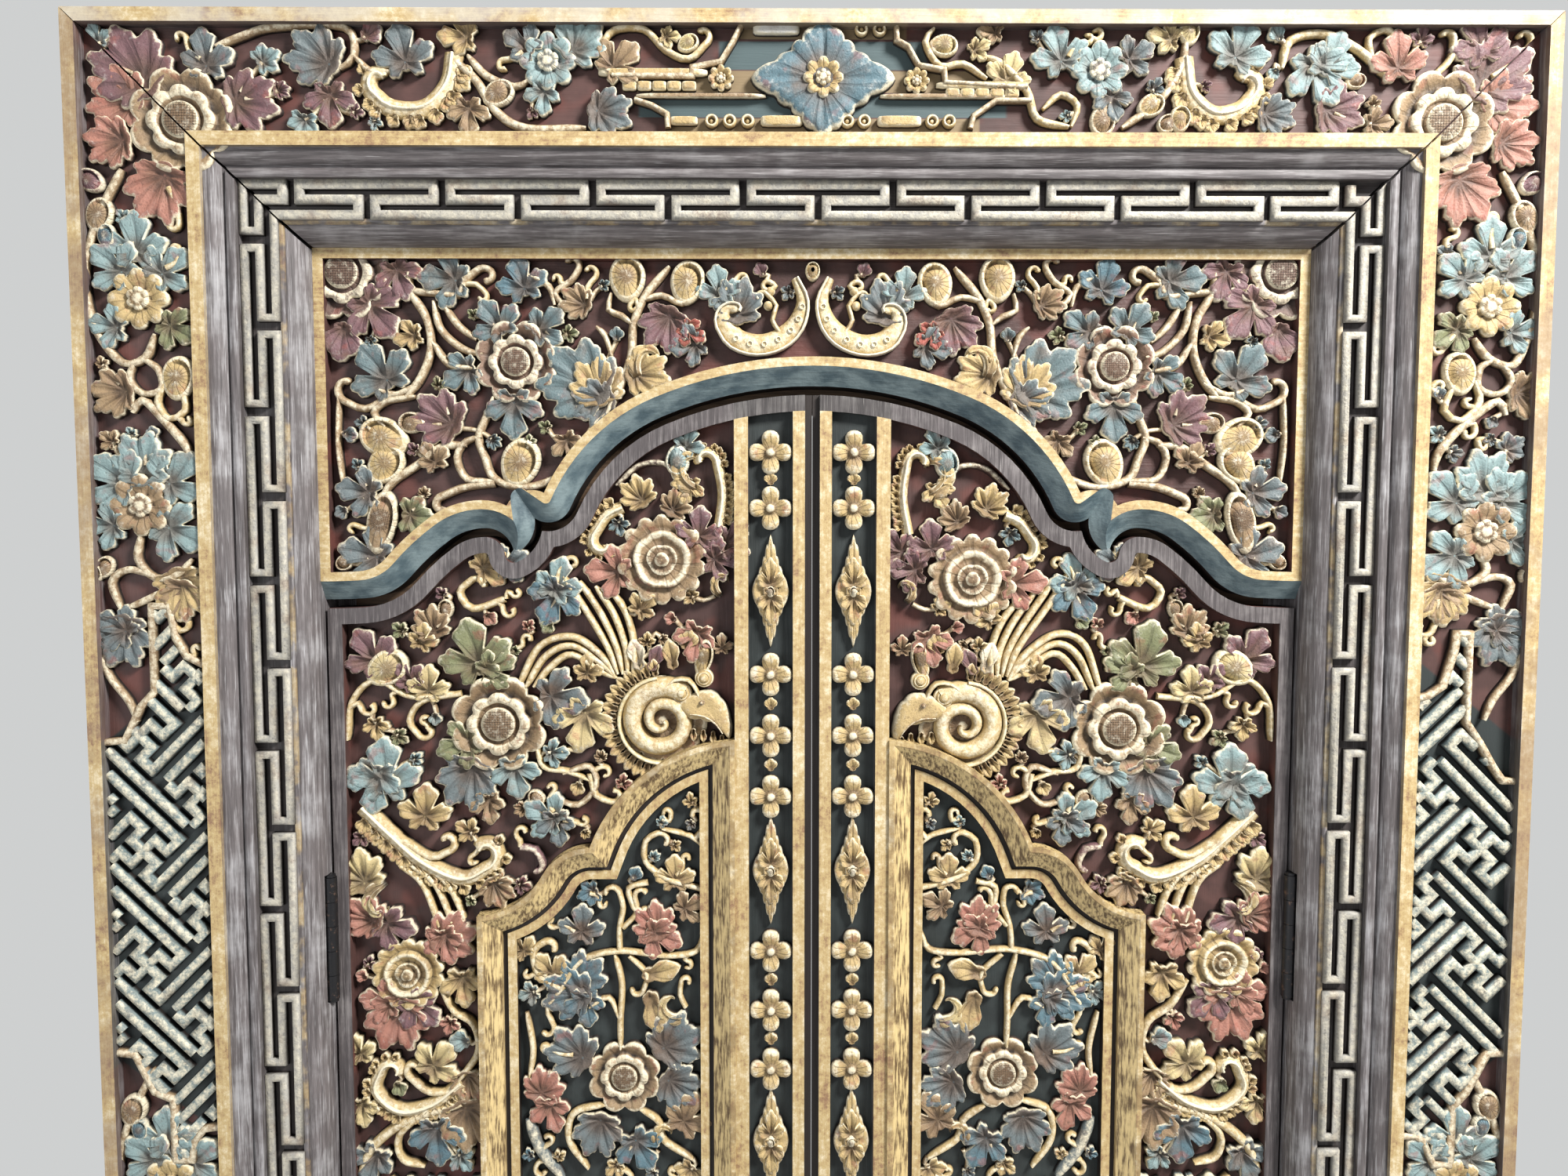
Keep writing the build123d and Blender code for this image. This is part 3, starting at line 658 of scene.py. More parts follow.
def hooded_bud(spokes=26):
    """A drop with a rolled lip round one side, as a young leaf folds."""
    angle = around(spokes)
    lip = np.clip(0.35 + 0.95 * np.cos(angle - 0.9), 0, 1)
    drop = 0.90 + 0.16 * np.maximum(np.cos(angle - math.pi), 0) ** 4
    rings = []
    for share, height, dip, rim in (
        (0.25, 1.0, 0.0, 0.5), (0.52, 0.94, 0.14, 0.2), (0.64, 0.86, 0.42, 0.0), (0.72, 0.82, 0.30, 0.1),
        (0.80, 0.80, -0.14, 0.8), (0.94, 0.70, -0.08, 0.8), (1.0, 0.45, 0.0, 0.9), (1.01, 0.0, 0.0, 0.0),
    ):
        rings.append(ring_at(angle, share * drop, height - dip * lip, rim))
    return ring_form(rings, spokes)

# %% Curling plume
def plume(bend, width, scallops, curl_in, steps=34):
    """A half leaf that sweeps round a curve: smooth inside, scalloped outside, ribbed across."""
    s = np.linspace(0, 1, steps)
    heading = np.radians(bend) * s ** (1 + curl_in) - math.radians(bend) * 0.35
    x = np.concatenate([[0], np.cumsum(np.sin(heading[:-1]))]) / (steps - 1)
    y = np.concatenate([[0], np.cumsum(np.cos(heading[:-1]))]) / (steps - 1)
    normal = np.stack([np.cos(heading), -np.sin(heading)], 1)
    swell = np.sin(math.pi * np.clip(s * 0.9 + 0.1, 0, 1) ** 0.75) ** 0.8
    teeth = 1 - 0.22 * (1 - np.abs(np.cos(math.pi * scallops * s))) ** 1.3
    outer = width * swell * teeth + 0.012
    inner = 0.42 * width * swell ** 1.1 + 0.012
    rib = 1 - np.abs(np.cos(math.pi * scallops * s))
    rows = []
    for share, height, rim in (
        (-1.0, 0.0, 0), (-0.99, 0.70, 1.0), (-0.75, 0.84, 0.6), (-0.25, 0.78, 0.1), (-0.05, 0.98, 0.8),
        (0.06, 0.74, 0.0), (0.4, 0.84, 0.15), (0.78, 0.92, 0.45), (0.97, 0.78, 1.0), (0.99, 0.0, 0),
    ):
        side = np.where(share > 0, outer, inner)
        notch = 0.16 * rib * max(share, 0) * (height > 0)
        at = np.stack([x, y], 1) - normal * (side * share)[:, None]
        taper = (np.clip(s * 8, 0.35, 1) * np.clip((1 - s) * 6, 0.55, 1))
        rows.append(np.column_stack([at, (height - notch) * taper, np.full(steps, rim)]))
    grid = np.array(rows)
    index = np.arange(grid.shape[0] * steps).reshape(grid.shape[0], steps)
    faces = []
    for low, high in zip(index, index[1:]):
        faces += list(zip(low[:-1], low[1:], high[1:], high[:-1]))
    return grid.reshape(-1, 4), faces

# %% Stock of motifs
def stretched(form, x_scale, y_scale):
    """The same form made broader or longer."""
    points, faces = form
    return points * (x_scale, y_scale, 1, 1), faces


leaf_lobes = ((0, 1.06, 0.62), (-68, 0.90, 0.56), (68, 0.90, 0.56), (-128, 0.56, 0.54), (128, 0.56, 0.54))
ivy_lobes = ((0, 1.04, 0.54), (-56, 0.94, 0.50), (56, 0.90, 0.50), (-108, 0.70, 0.50), (108, 0.70, 0.50))
lean_lobes = ((4, 1.04, 0.60), (-58, 0.74, 0.54), (70, 0.90, 0.58), (-118, 0.52, 0.54), (128, 0.58, 0.56))
fan_lobes = (
    (-96, 0.52, 0.44), (-58, 0.78, 0.40), (-22, 1.0, 0.38),
    (14, 1.02, 0.38), (50, 0.86, 0.40), (90, 0.60, 0.44),
)


def shells(angle, reach, rings):
    """Rings that all have one outline; each row is (share of the reach, height, rim)."""
    return ring_form([ring_at(angle, reach * share, high, rim) for share, high, rim in rings], len(angle))


def block(spokes=24, square=7):
    """A bar with soft corners, stretched to length where it is set."""
    angle = around(spokes)
    edge = (np.abs(np.sin(angle)) ** square + np.abs(np.cos(angle)) ** square) ** (-1 / square)
    return shells(angle, edge, ((0.5, 1.0, 0.3), (0.84, 0.97, 0.7), (0.98, 0.72, 1.0), (1.0, 0.0, 0.0)))


def beak(spokes=72):
    """A hooked beak seen from its side; each pair is a spoke's angle and its reach in millimetres."""
    outline = (
        (0, 16.5), (15, 17.2), (60, 17), (97, 23.1), (117, 28.6), (135, 38), (145, 42.9),
        (150, 24), (156, 18), (204, 14.2), (242, 23.7), (268, 31.2), (297, 22.4), (325, 17.2),
    )
    angle = around(spokes)
    reach = np.interp(np.degrees(angle), *zip(*outline), period=360) / 43
    rings = (
        (0.3, 0.92, 0.1), (0.6, 1.0, 0.3), (0.85, 0.90, 0.6), (0.96, 0.66, 0.9), (1.0, 0.4, 1), (1.02, 0, 0),
    )
    return shells(angle, reach, rings)


def lozenge_flower(spokes=96):
    """Four broad petals that fill a lozenge, with a scalloped edge and veins along its two axes."""
    angle = around(spokes)
    across, along = np.abs(np.sin(angle)), np.abs(np.cos(angle))
    reach = 1 / (across + along / 0.66)
    reach = reach * (1 - 0.09 * (1 - np.abs(np.cos(9 * angle))) ** 1.3) + 0.10 * along**6
    valley = np.exp(-(((across - 0.80) / 0.10) ** 2))
    vein = np.exp(-((np.minimum(across, along) / 0.06) ** 2))
    rings = []
    for share, height, rim in (
        (0.25, 0.7, 0), (0.55, 0.82, 0), (0.8, 0.95, 0.2), (0.95, 0.85, 0.7), (1, 0.6, 1), (1.02, 0, 0),
    ):
        fall = (0.22 * valley * share + 0.14 * vein * (share < 0.9)) * (height > 0)
        rings.append(ring_at(angle, reach * share, height - fall, rim + 0.2 * vein * (share < 0.9)))
    return ring_form(rings, spokes)


STOCK = {
    "leaf": lobed_leaf(leaf_lobes, 64),
    "ivy": lobed_leaf(ivy_lobes, 68),
    "lean": lobed_leaf(lean_lobes, 64),
    "single": stretched(lobed_leaf(((0, 1.0, 1.5),), 32), 0.9, 1),
    "grand": layered_flower(GRAND_FLOWER, 72),
    "ruffle": layered_flower(RUFFLED_FLOWER, 80),
    "rosette": layered_flower(SMALL_ROSETTE, 48),
    "quatre": layered_flower(QUATREFOIL, 40),
    "cheek": layered_flower(CHEEK, 88),
    "ring": layered_flower(RING, 20),
    "bar": block(),
    "knob": layered_flower(KNOB, 14),
    "eye": layered_flower(EYE, 24),
    "beak": beak(),
    "lozenge": lozenge_flower(),
    "blade": stretched(lobed_leaf(((0, 1.0, 1.1),), 28), 0.62, 1),
    "bud": stretched(hooded_bud(), 0.92, 1.1),
    "pod": stretched(hooded_bud(), 0.5, 1),
    "fan": lobed_leaf(fan_lobes, 84, 0.14),
    "hook": plume(230, 0.17, 4, 0.8),
}


def flipped(form):
    """The same form for the other hand."""
    points, faces = form
    return points * (-1, 1, 1, 1), [face[::-1] for face in faces]


motif_shelf = bpy.data.collections.new("motif_shelf")
bpy.context.scene.collection.children.link(motif_shelf)
motif_number = {}
for kind, form in STOCK.items():
    for hand, (points, faces) in (("", form), ("_flip", flipped(form))):
        number = len(motif_number)
        motif_number[kind + hand] = number
        mesh = bpy.data.meshes.new(f"motif_{number:02d}_{kind}{hand}")
        mesh.from_pydata(points[:, :3].tolist(), [], [[int(i) for i in f] for f in faces])
        mesh.attributes.new("rim", "FLOAT", "POINT").data.foreach_set("value", points[:, 3])
        mesh.attributes.new("lift", "FLOAT", "POINT").data.foreach_set("value", points[:, 2])
        plain = kind in ("bar", "ring", "knob", "eye", "beak")
        own = points[:, :3] * (not plain, not plain, 0) + (0, 0, kind in ("grand", "pod"))
        mesh.attributes.new("own", "FLOAT_VECTOR", "POINT").data.foreach_set("vector", own.ravel())
        motif_shelf.objects.link(bpy.data.objects.new(mesh.name, mesh))
print("motifs", {kind: len(form[1]) for kind, form in STOCK.items()})

# %% [markdown]
# ## The carver's tree
# One Geometry Nodes tree carves a whole panel. The panel's points say which motif stands where, how it is
# turned and how large it is. Its edges are the stems, which the tree sweeps with a round-backed section.
# Motifs could be copied as objects one by one, but a panel has hundreds, and each would then need a join.

# %% Carving tree
def new_tree(name, result, **kinds):
    """A tree with inputs of the given kinds, their identifiers, its input node and a way to add nodes."""
    tree = bpy.data.node_groups.new(name, "GeometryNodeTree")
    ports = {}
    for label, kind in kinds.items():
        port = tree.interface.new_socket(label, in_out="INPUT", socket_type="NodeSocket" + kind)
        ports[label] = port.identifier
    tree.interface.new_socket(result, in_out="OUTPUT", socket_type="NodeSocketGeometry")

    def add(kind, settings=(), **links):
        """Add a node: first its settings, then its sockets by name, as values or as links."""
        made = tree.nodes.new(kind)
        for key, value in dict(settings).items():
            setattr(made, key, value)
        for key, value in links.items():
            socket = made.inputs[key.replace("_", " ")]
            if isinstance(value, bpy.types.NodeSocket):
                tree.links.new(value, socket)
            else:
                socket.default_value = value
        return made

    return tree, ports, tree.nodes.new("NodeGroupInput"), add


def build_carver():
    """Motifs stood on the points, stems swept along the edges, and both given their paint."""
    tree, ports, source, add = new_tree(
        "carver", "Carving",
        Points="Geometry", Stems="Object", Section="Object", Motifs="Collection", Paint="Material",
    )

    def named(name, kind="FLOAT"):
        return add("GeometryNodeInputNamedAttribute", {"data_type": kind}, Name=name).outputs[0]

    shelf = add("GeometryNodeCollectionInfo", Collection=source.outputs["Motifs"])
    shelf.inputs["Separate Children"].default_value = True
    shelf.inputs["Reset Children"].default_value = True
    turn = add("ShaderNodeCombineXYZ", Z=named("turn"))
    place = add(
        "GeometryNodeInstanceOnPoints", Points=source.outputs["Points"], Instance=shelf.outputs[0],
        Rotation=turn.outputs[0], Scale=named("span", "FLOAT_VECTOR"),
    )
    place.inputs["Pick Instance"].default_value = True
    tree.links.new(named("motif", "INT"), place.inputs["Instance Index"])
    motifs = add("GeometryNodeRealizeInstances", Geometry=place.outputs[0])

    stems = add("GeometryNodeObjectInfo", Object=source.outputs["Stems"])
    section = add("GeometryNodeObjectInfo", Object=source.outputs["Section"])
    paths = add("GeometryNodeMeshToCurve", Mesh=stems.outputs["Geometry"])
    upright = add("GeometryNodeSetCurveNormal", {"mode": "Z_UP"}, Curve=paths.outputs[0])
    profile = add("GeometryNodeMeshToCurve", Mesh=section.outputs["Geometry"])
    sweep = add("GeometryNodeCurveToMesh", Curve=upright.outputs[0])
    sweep.inputs["Fill Caps"].default_value = True
    tree.links.new(profile.outputs[0], sweep.inputs["Profile Curve"])
    tree.links.new(named("reach"), sweep.inputs["Scale"])
    place_now = add("GeometryNodeInputPosition")
    parts = add("ShaderNodeSeparateXYZ", Vector=place_now.outputs[0])
    share = add("ShaderNodeMath", {"operation": "DIVIDE"})
    tree.links.new(parts.outputs["Z"], share.inputs[0])
    tree.links.new(named("reach"), share.inputs[1])
    stem = sweep
    for label, gain in (("lift", 1.0), ("rim", 0.72)):
        part_of = add("ShaderNodeMath", {"operation": "MULTIPLY"})
        tree.links.new(share.outputs[0], part_of.inputs[0])
        part_of.inputs[1].default_value = gain
        stem = add("GeometryNodeStoreNamedAttribute", Geometry=stem.outputs[0], Name=label)
        tree.links.new(part_of.outputs[0], stem.inputs["Value"])
    tall = add("ShaderNodeMath", {"operation": "MULTIPLY"})
    tree.links.new(named("lift"), tall.inputs[0])
    tree.links.new(named("tall"), tall.inputs[1])
    raised = add("ShaderNodeCombineXYZ", X=parts.outputs["X"], Y=parts.outputs["Y"], Z=tall.outputs[0])
    stem = add("GeometryNodeSetPosition", Geometry=stem.outputs[0], Position=raised.outputs[0])
    both = add("GeometryNodeJoinGeometry")
    tree.links.new(stem.outputs[0], both.inputs[0])
    tree.links.new(motifs.outputs[0], both.inputs[0])
    painted = add("GeometryNodeSetMaterial", Geometry=both.outputs[0], Material=source.outputs["Paint"])
    add("NodeGroupOutput", Carving=painted.outputs[0])
    return tree, ports


carver, carver_ports = build_carver()
print("nodes in the carver's tree", len(carver.nodes))


def wire_object(name, points, edges=()):
    """Points and edges only, for a tree to work on."""
    mesh = bpy.data.meshes.new(name)
    mesh.from_pydata(points, edges, [])
    return placed(name, mesh)


def section(name, points):
    """A closed section for a stem or a bar, one unit to each side and one unit high."""
    count = len(points)
    edges = [(i, (i + 1) % count) for i in range(count)]
    return wire_object(name, [(x, -y, 0) for x, y in points], edges)


round_half = ((-1, 0), (-0.92, 0.6), (-0.5, 0.95), (0, 1), (0.5, 0.95), (0.92, 0.6), (1, 0))
round_back = section("round_back", round_half)
flat_ridge = section("flat_ridge", ((-1, 0), (-0.76, 0.92), (0, 1), (0.76, 0.92), (1, 0)))

# %% Stems from a few given points
def smooth_path(points, spacing=6.0):
    """A Catmull-Rom curve through the points, sampled evenly enough for a sweep."""
    p = np.array(points, float)
    p = np.concatenate([[2 * p[0] - p[1]], p, [2 * p[-1] - p[-2]]])
    out = []
    for a, b, c, d in zip(p, p[1:], p[2:], p[3:]):
        count = max(2, int(np.linalg.norm(c - b) / spacing))
        t = (np.arange(count) / count)[:, None]
        out.append(
            0.5 * (2 * b + (c - a) * t + (2 * a - 5 * b + 4 * c - d) * t**2 + (3 * b - a - 3 * c + d) * t**3)
        )
    return np.concatenate(out + [p[-2:-1]])


def add_curl(path, turn, radius):
    """Carry a path on into a closing spiral; a positive turn in degrees goes clockwise."""
    tangent = path[-1] - path[-2]
    heading = math.atan2(tangent[1], tangent[0])
    steps = max(4, int(abs(turn) / 18))
    swing = -math.radians(turn) / steps
    place = path[-1].copy()
    more = []
    for i in range(steps):
        r = radius * (1 - 0.72 * (i / steps) ** 0.8)
        heading += swing
        place = place + abs(swing) * r * np.array([math.cos(heading), math.sin(heading)])
        more.append(place)
    return np.concatenate([path, more])


LARGE_KINDS = ("leaf", "lean", "ivy")
SMALL_KINDS = ("single", "lean", "fan", "bud", "lean", "leaf")


class Layout:
    """One panel's carving, set out flat: X to the right, Y up from the floor, in millimetres."""

    def __init__(self, relief):
        self.relief = relief
        self.top = door_top
        self.marks = []
        self.stems = []

    def put(self, kind, x, down, size, turn=0.0, tint=TEAL, lift=1.0, squeeze=1.0):
        """Stand one motif: its heart, its size, and the way its tip points, clockwise from up."""
        self.marks.append([kind, x, self.top - down, size, turn, tint, lift, squeeze])

    def stem(self, points, width, curl=(0, 0), tint=TAN, lift=0.78):
        """A stem through some points; curl is the turn and the radius of the spiral at its end."""
        path = smooth_path([(x, self.top - down) for x, down in points])
        if curl[0]:
            path = add_curl(path, *curl)
        reach = np.full(len(path), width / 2)
        if curl[0]:
            s = np.linspace(0, 1, len(path))
            reach *= 1 - 0.25 * np.clip((s - 0.5) * 2, 0, 1)
            reach[-4:] *= (1.15, 1.35, 1.2, 0.5)
        elif len(path) > 5:
            reach[-3:] *= (0.94, 0.78, 0.45)
            reach[:2] *= (0.5, 0.85)
        self.stems.append([path, reach, tint, lift])

    def scroll(self, points, width, curl, tint=GOLD, lift=0.9):
        """A fleshy leaf that rolls up: a broad stem with a ridge, and scallops down its outer side."""
        self.stem(points, width * 0.72, curl, tint, lift * 0.86)
        path, reach, _, _ = self.stems[-1]
        along = np.gradient(path, axis=0)
        along /= np.linalg.norm(along, axis=1)[:, None]
        outward = np.column_stack([-along[:, 1], along[:, 0]]) * math.copysign(1, curl[0])
        ridge = path - outward * reach[:, None] * 0.1
        self.stems.append([ridge, np.full(len(path), 2.2), CREAM, lift * 1.06])
        gone = np.concatenate([[0], np.cumsum(np.linalg.norm(np.diff(path, axis=0), axis=1))])
        for goal in np.arange(0.3 * width, gone[-1] * 0.92, 0.42 * width):
            k = int(np.searchsorted(gone, goal))
            heart = path[k] + outward[k] * reach[k] * 0.75
            turn = math.degrees(math.atan2(*(outward[k] + 0.5 * along[k])))
            size = width * (0.52 - 0.24 * goal / gone[-1])
            self.marks.append(["single", *heart, size, turn, tint, lift, 1.0])

    def many(self, rows):
        """Stand motifs, each row as for put."""
        for row in rows:
            self.put(*row)

    def line(self, points, width, tint=GOLD, lift=0.8):
        """A straight-edged bar with mitred corners."""
        path = np.array([(x, self.top - down) for x, down in points], float)
        reach = np.full(len(path), width / 2)
        for i in range(1, len(path) - 1):
            before, after = path[i] - path[i - 1], path[i + 1] - path[i]
            cosine = before @ after / (np.linalg.norm(before) * np.linalg.norm(after))
            reach[i] /= max(0.5, math.sqrt((1 + cosine) / 2))
        self.stems.append([path, reach, tint, lift])

    def taken(self):
        """Circles that cover what is set out so far."""
        circles = [(x, y, 0.68 * size) for _, x, y, size, *_ in self.marks]
        for path, reach, _, _ in self.stems:
            circles += [(x, y, r) for (x, y), r in zip(path, reach)]
        return circles

    def fill(self, ground, box, seed, tints, least, most):
        """Set leaves and buds, each on a short stem, wherever bare ground is left."""
        rng = np.random.default_rng(seed)
        circles = np.array(self.taken())
        left, right, high, low = box
        tries, patience, cost_of_a_miss = 90, 400, 40
        while patience > 0:
            spots = rng.uniform(left, right, tries), self.top - rng.uniform(high, low, tries)
            trial = np.column_stack(spots)
            away = np.linalg.norm(trial[:, None] - circles[None, :, :2], axis=2) - circles[None, :, 2]
            free = away.min(1)
            free[[not bare_ground(x, y, ground) for x, y in trial]] = 0
            best = int(np.argmax(free))
            if free[best] < least:
                patience -= cost_of_a_miss
                continue
            patience -= 1
            x, y = trial[best]
            size = min(most, 1.3 * free[best])
            nearest = circles[int(np.argmin(away[best]))]
            out = np.array([x - nearest[0], y - nearest[1]])
            out = out / max(1e-6, np.linalg.norm(out))
            turn = math.degrees(math.atan2(out[0], out[1])) + rng.uniform(-35, 35)
            tint = tints[rng.integers(len(tints))]
            kinds = LARGE_KINDS if size > 19 else SMALL_KINDS
            kind = kinds[rng.integers(len(kinds))]
            if kind == "bud":
                tint = TAN
            hand = "_flip" if rng.random() < 0.5 else ""
            lift = rng.uniform(0.82, 1.0)
            heart = np.array([x, y]) - 0.35 * size * out
            start = nearest[:2] + out * nearest[2] * 0.3
            bend = (start + heart) / 2 + np.array([-out[1], out[0]]) * rng.uniform(-6, 6)
            if size > 9 and rng.random() < 0.38:
                path = add_curl(smooth_path([start, bend, heart]), 240 if hand else -240, 0.42 * size)
                reach = np.linspace(3.0, 2.3, len(path))
                reach[-4:] *= (1.1, 1.45, 1.3, 0.5)
                self.stems.append([path, reach, GOLD, 0.75])
                fresh = [(u, v, 3) for u, v in path]
            else:
                self.marks.append([kind + hand, *heart, size, turn, tint, lift, 1.0])
                path = smooth_path([start, bend, heart], 8)
                self.stems.append([path, np.full(len(path), 2.6), TAN, 0.6])
                fresh = [(x, y, 0.72 * size)] + [(u, v, 2.6) for u, v in path]
            circles = np.vstack([circles, fresh])

    def nudged(self, moves):
        """Move what lies near some points, each given as (x, down, move x, move down, reach)."""
        def moved(place):
            place = np.array(place, float)
            shift = np.zeros(2)
            for x, down, right, drop, reach in moves:
                weight = math.exp(-(((place[0] - x) ** 2 + (place[1] - self.top + down) ** 2) / reach**2))
                shift += weight * np.array([right, -drop])
            return place + shift

        for mark in self.marks:
            mark[1:3] = moved(mark[1:3])
        for stem in self.stems:
            stem[0] = np.array([moved(place) for place in stem[0]])
        return self

    def other_side(self, shift=0.0):
        """The same work mirrored about the door's centre line."""
        twin = Layout(self.relief)
        for kind, x, y, size, turn, tint, lift, squeeze in self.marks:
            hand = kind.removesuffix("_flip") if kind.endswith("_flip") else kind + "_flip"
            twin.marks.append([hand, shift - x, y, size, -turn, tint, lift, squeeze])
        for path, reach, tint, lift in self.stems:
            twin.stems.append([path * (-1, 1) + (shift, 0), reach, tint, lift])
        return twin

    def __add__(self, other):
        both = Layout(self.relief)
        both.marks = self.marks + other.marks
        both.stems = self.stems + other.stems
        return both

# %% Where the sunk grounds are
def joinery_surface():
    """All CAD parts as one tree of triangles that a ray can be cast at."""
    points, faces = [], []
    for part in nodes.values():
        first = len(points)
        points += [v.co.copy() for v in part.data.vertices]
        faces += [[first + i for i in face.vertices] for face in part.data.polygons]
    return BVHTree.FromPolygons(points, faces)


joinery = joinery_surface()


def depth_at(x, y):
    """How far back the door's surface lies, in millimetres, seen from straight in front."""
    place, *_ = joinery.ray_cast(Vector((x * MM, -0.2, y * MM)), Vector((0, 1, 0)))
    return place.y / MM if place else 999.0


def bare_ground(x, y, ground, margin=7):
    """Whether a sunk ground reaches a margin all round a point."""
    steps = ((0, 0), (margin, 0), (-margin, 0), (0, margin), (0, -margin))
    return all(abs(depth_at(x + dx, y + dy) - ground) < 1.5 for dx, dy in steps)


print("depth of the leaf's field at mid height", round(depth_at(-408, door_top / 2), 1), "mm")

# %% From a layout to a standing piece
def put_attribute(mesh, name, kind, values):
    """Give every point of a mesh its own value."""
    layer = mesh.attributes.new(name, kind, "POINT")
    field = {"FLOAT_COLOR": "color", "FLOAT_VECTOR": "vector"}.get(kind, "value")
    layer.data.foreach_set(field, np.ravel(values))


def trim(mesh, limits):
    """Cut away what lies past some planes, each given as a point in millimetres and the way out."""
    tidy = bmesh.new()
    tidy.from_mesh(mesh)
    for point, out in limits:
        everything = tidy.verts[:] + tidy.edges[:] + tidy.faces[:]
        plane = {"plane_co": Vector(point) * MM, "plane_no": Vector(out)}
        bmesh.ops.bisect_plane(tidy, geom=everything, clear_outer=True, **plane)
    tidy.to_mesh(mesh)
    tidy.free()


def mitre(side, above):
    """The saw cut at one corner of the frame, as seen from the head or from the jamb."""
    out = Vector((side, 0, -1) if above else (-side, 0, 1)).normalized()
    return Vector((side * door_half, 0, door_top)) - 0.8 * out, out


def grown(bench, tree, ports, settings, name):
    """What a tree makes of a bench object, as a mesh of its own. The bench object is cleared away."""
    job = bench.modifiers.new(tree.name, "NODES")
    job.node_group = tree
    for label, value in settings.items():
        job[ports[label]] = value
    bpy.context.view_layer.update()
    graph = bpy.context.evaluated_depsgraph_get()
    result = bench.evaluated_get(graph)
    mesh = bpy.data.meshes.new_from_object(result, preserve_all_data_layers=True, depsgraph=graph)
    mesh.name = name
    bpy.data.objects.remove(bench)
    return mesh


def carve(layout, name, ground, body, back=round_back, limits=(), paint=painted_carving):
    """Carve a layout on a ground at depth y in millimetres, and hang it on its body."""
    marks = layout.marks
    dots = wire_object(name + "_dots", [(x, y, 0) for _, x, y, *_ in marks])
    put_attribute(dots.data, "motif", "INT", [motif_number[m[0]] for m in marks])
    put_attribute(dots.data, "turn", "FLOAT", [-math.radians(m[4]) for m in marks])
    spans = [(m[3] * m[7], m[3], layout.relief * m[6]) for m in marks]
    put_attribute(dots.data, "span", "FLOAT_VECTOR", spans)
    put_attribute(dots.data, "tint", "FLOAT_COLOR", [(*m[5], 1) for m in marks])
    points, edges, reach, tints, tall = [], [], [], [], []
    for path, widths, tint, lift in layout.stems:
        first = len(points)
        points += [(x, y, 0) for x, y in path]
        edges += [(i, i + 1) for i in range(first, len(points) - 1)]
        reach += list(widths)
        tints += [(*tint, 1)] * len(path)
        tall += [layout.relief * lift] * len(path)
    stems = wire_object(name + "_stems", points, edges)
    put_attribute(stems.data, "reach", "FLOAT", reach)
    put_attribute(stems.data, "tint", "FLOAT_COLOR", tints)
    put_attribute(stems.data, "tall", "FLOAT", tall)
    settings = {"Stems": stems, "Section": back, "Motifs": motif_shelf, "Paint": paint}
    mesh = grown(dots, carver, carver_ports, settings, name)
    bpy.data.objects.remove(stems)
    upright = Matrix.Rotation(math.pi / 2, 4, "X") @ Matrix.Scale(MM, 4)
    mesh.transform(Matrix.Translation((0, ground * MM, 0)) @ upright)
    trim(mesh, limits)
    mesh.shade_smooth()
    piece = placed(name, mesh)
    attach(piece, body)
    mesh.calc_loop_triangles()
    print(name, len(mesh.loop_triangles), "triangles")

# %% [markdown]
# ## The head panel
# Two grand flowers stand in a net of stems and ivy on each side. A carver would cut them from the board
# itself, or glue sawn pieces on. The left half is set out from the photograph, the bare places are
# filled, and the right half mirrors it with a few nudges, since the photograph's halves differ by little.

# %% Head panel
FOLIAGE = (TEAL, TEAL, PLUM, SLATE, TAN, GREEN)


def crescent(half):
    """One of the two horns over the arch: a broad band with a raised lip and a row of small rings."""
    spine = ((-18, 236), (-10, 258), (-17, 281), (-34, 296), (-55, 301), (-76, 295), (-88, 280))
    half.stem(spine, 24, (190, 13), GOLD, 0.85)
    path, reach, _, _ = half.stems[-1]
    share = np.linspace(0, 1, len(path))
    reach *= np.interp(share, (0, 0.3, 0.6, 0.8, 1), (0.3, 0.95, 1.0, 0.6, 0.5))
    along = np.gradient(path, axis=0)
    along /= np.linalg.norm(along, axis=1)[:, None]
    outward = np.column_stack([-along[:, 1], along[:, 0]])
    raised_lip = path + outward * (reach * 0.85)[:, None]
    half.stems.append([raised_lip, np.full(len(path), 1.8), CREAM, 1.0])
    for k in range(4, int(len(path) * 0.62), 2):
        x, y = path[k]
        half.put("ring", x, half.top - y, 3.4, 0, CREAM, 1.0)
    for down, drop in ((248, 8), (262, 10)):
        half.put("knob", -34 - drop, down, 5, 0, GOLD, 0.8)
    half.stem(((-30, 292), (-40, 276), (-36, 262), (-46, 250)), 5, (-200, 7), GOLD, 0.8)
    half.put("leaf", -92, 252, 32, -8, SEA)


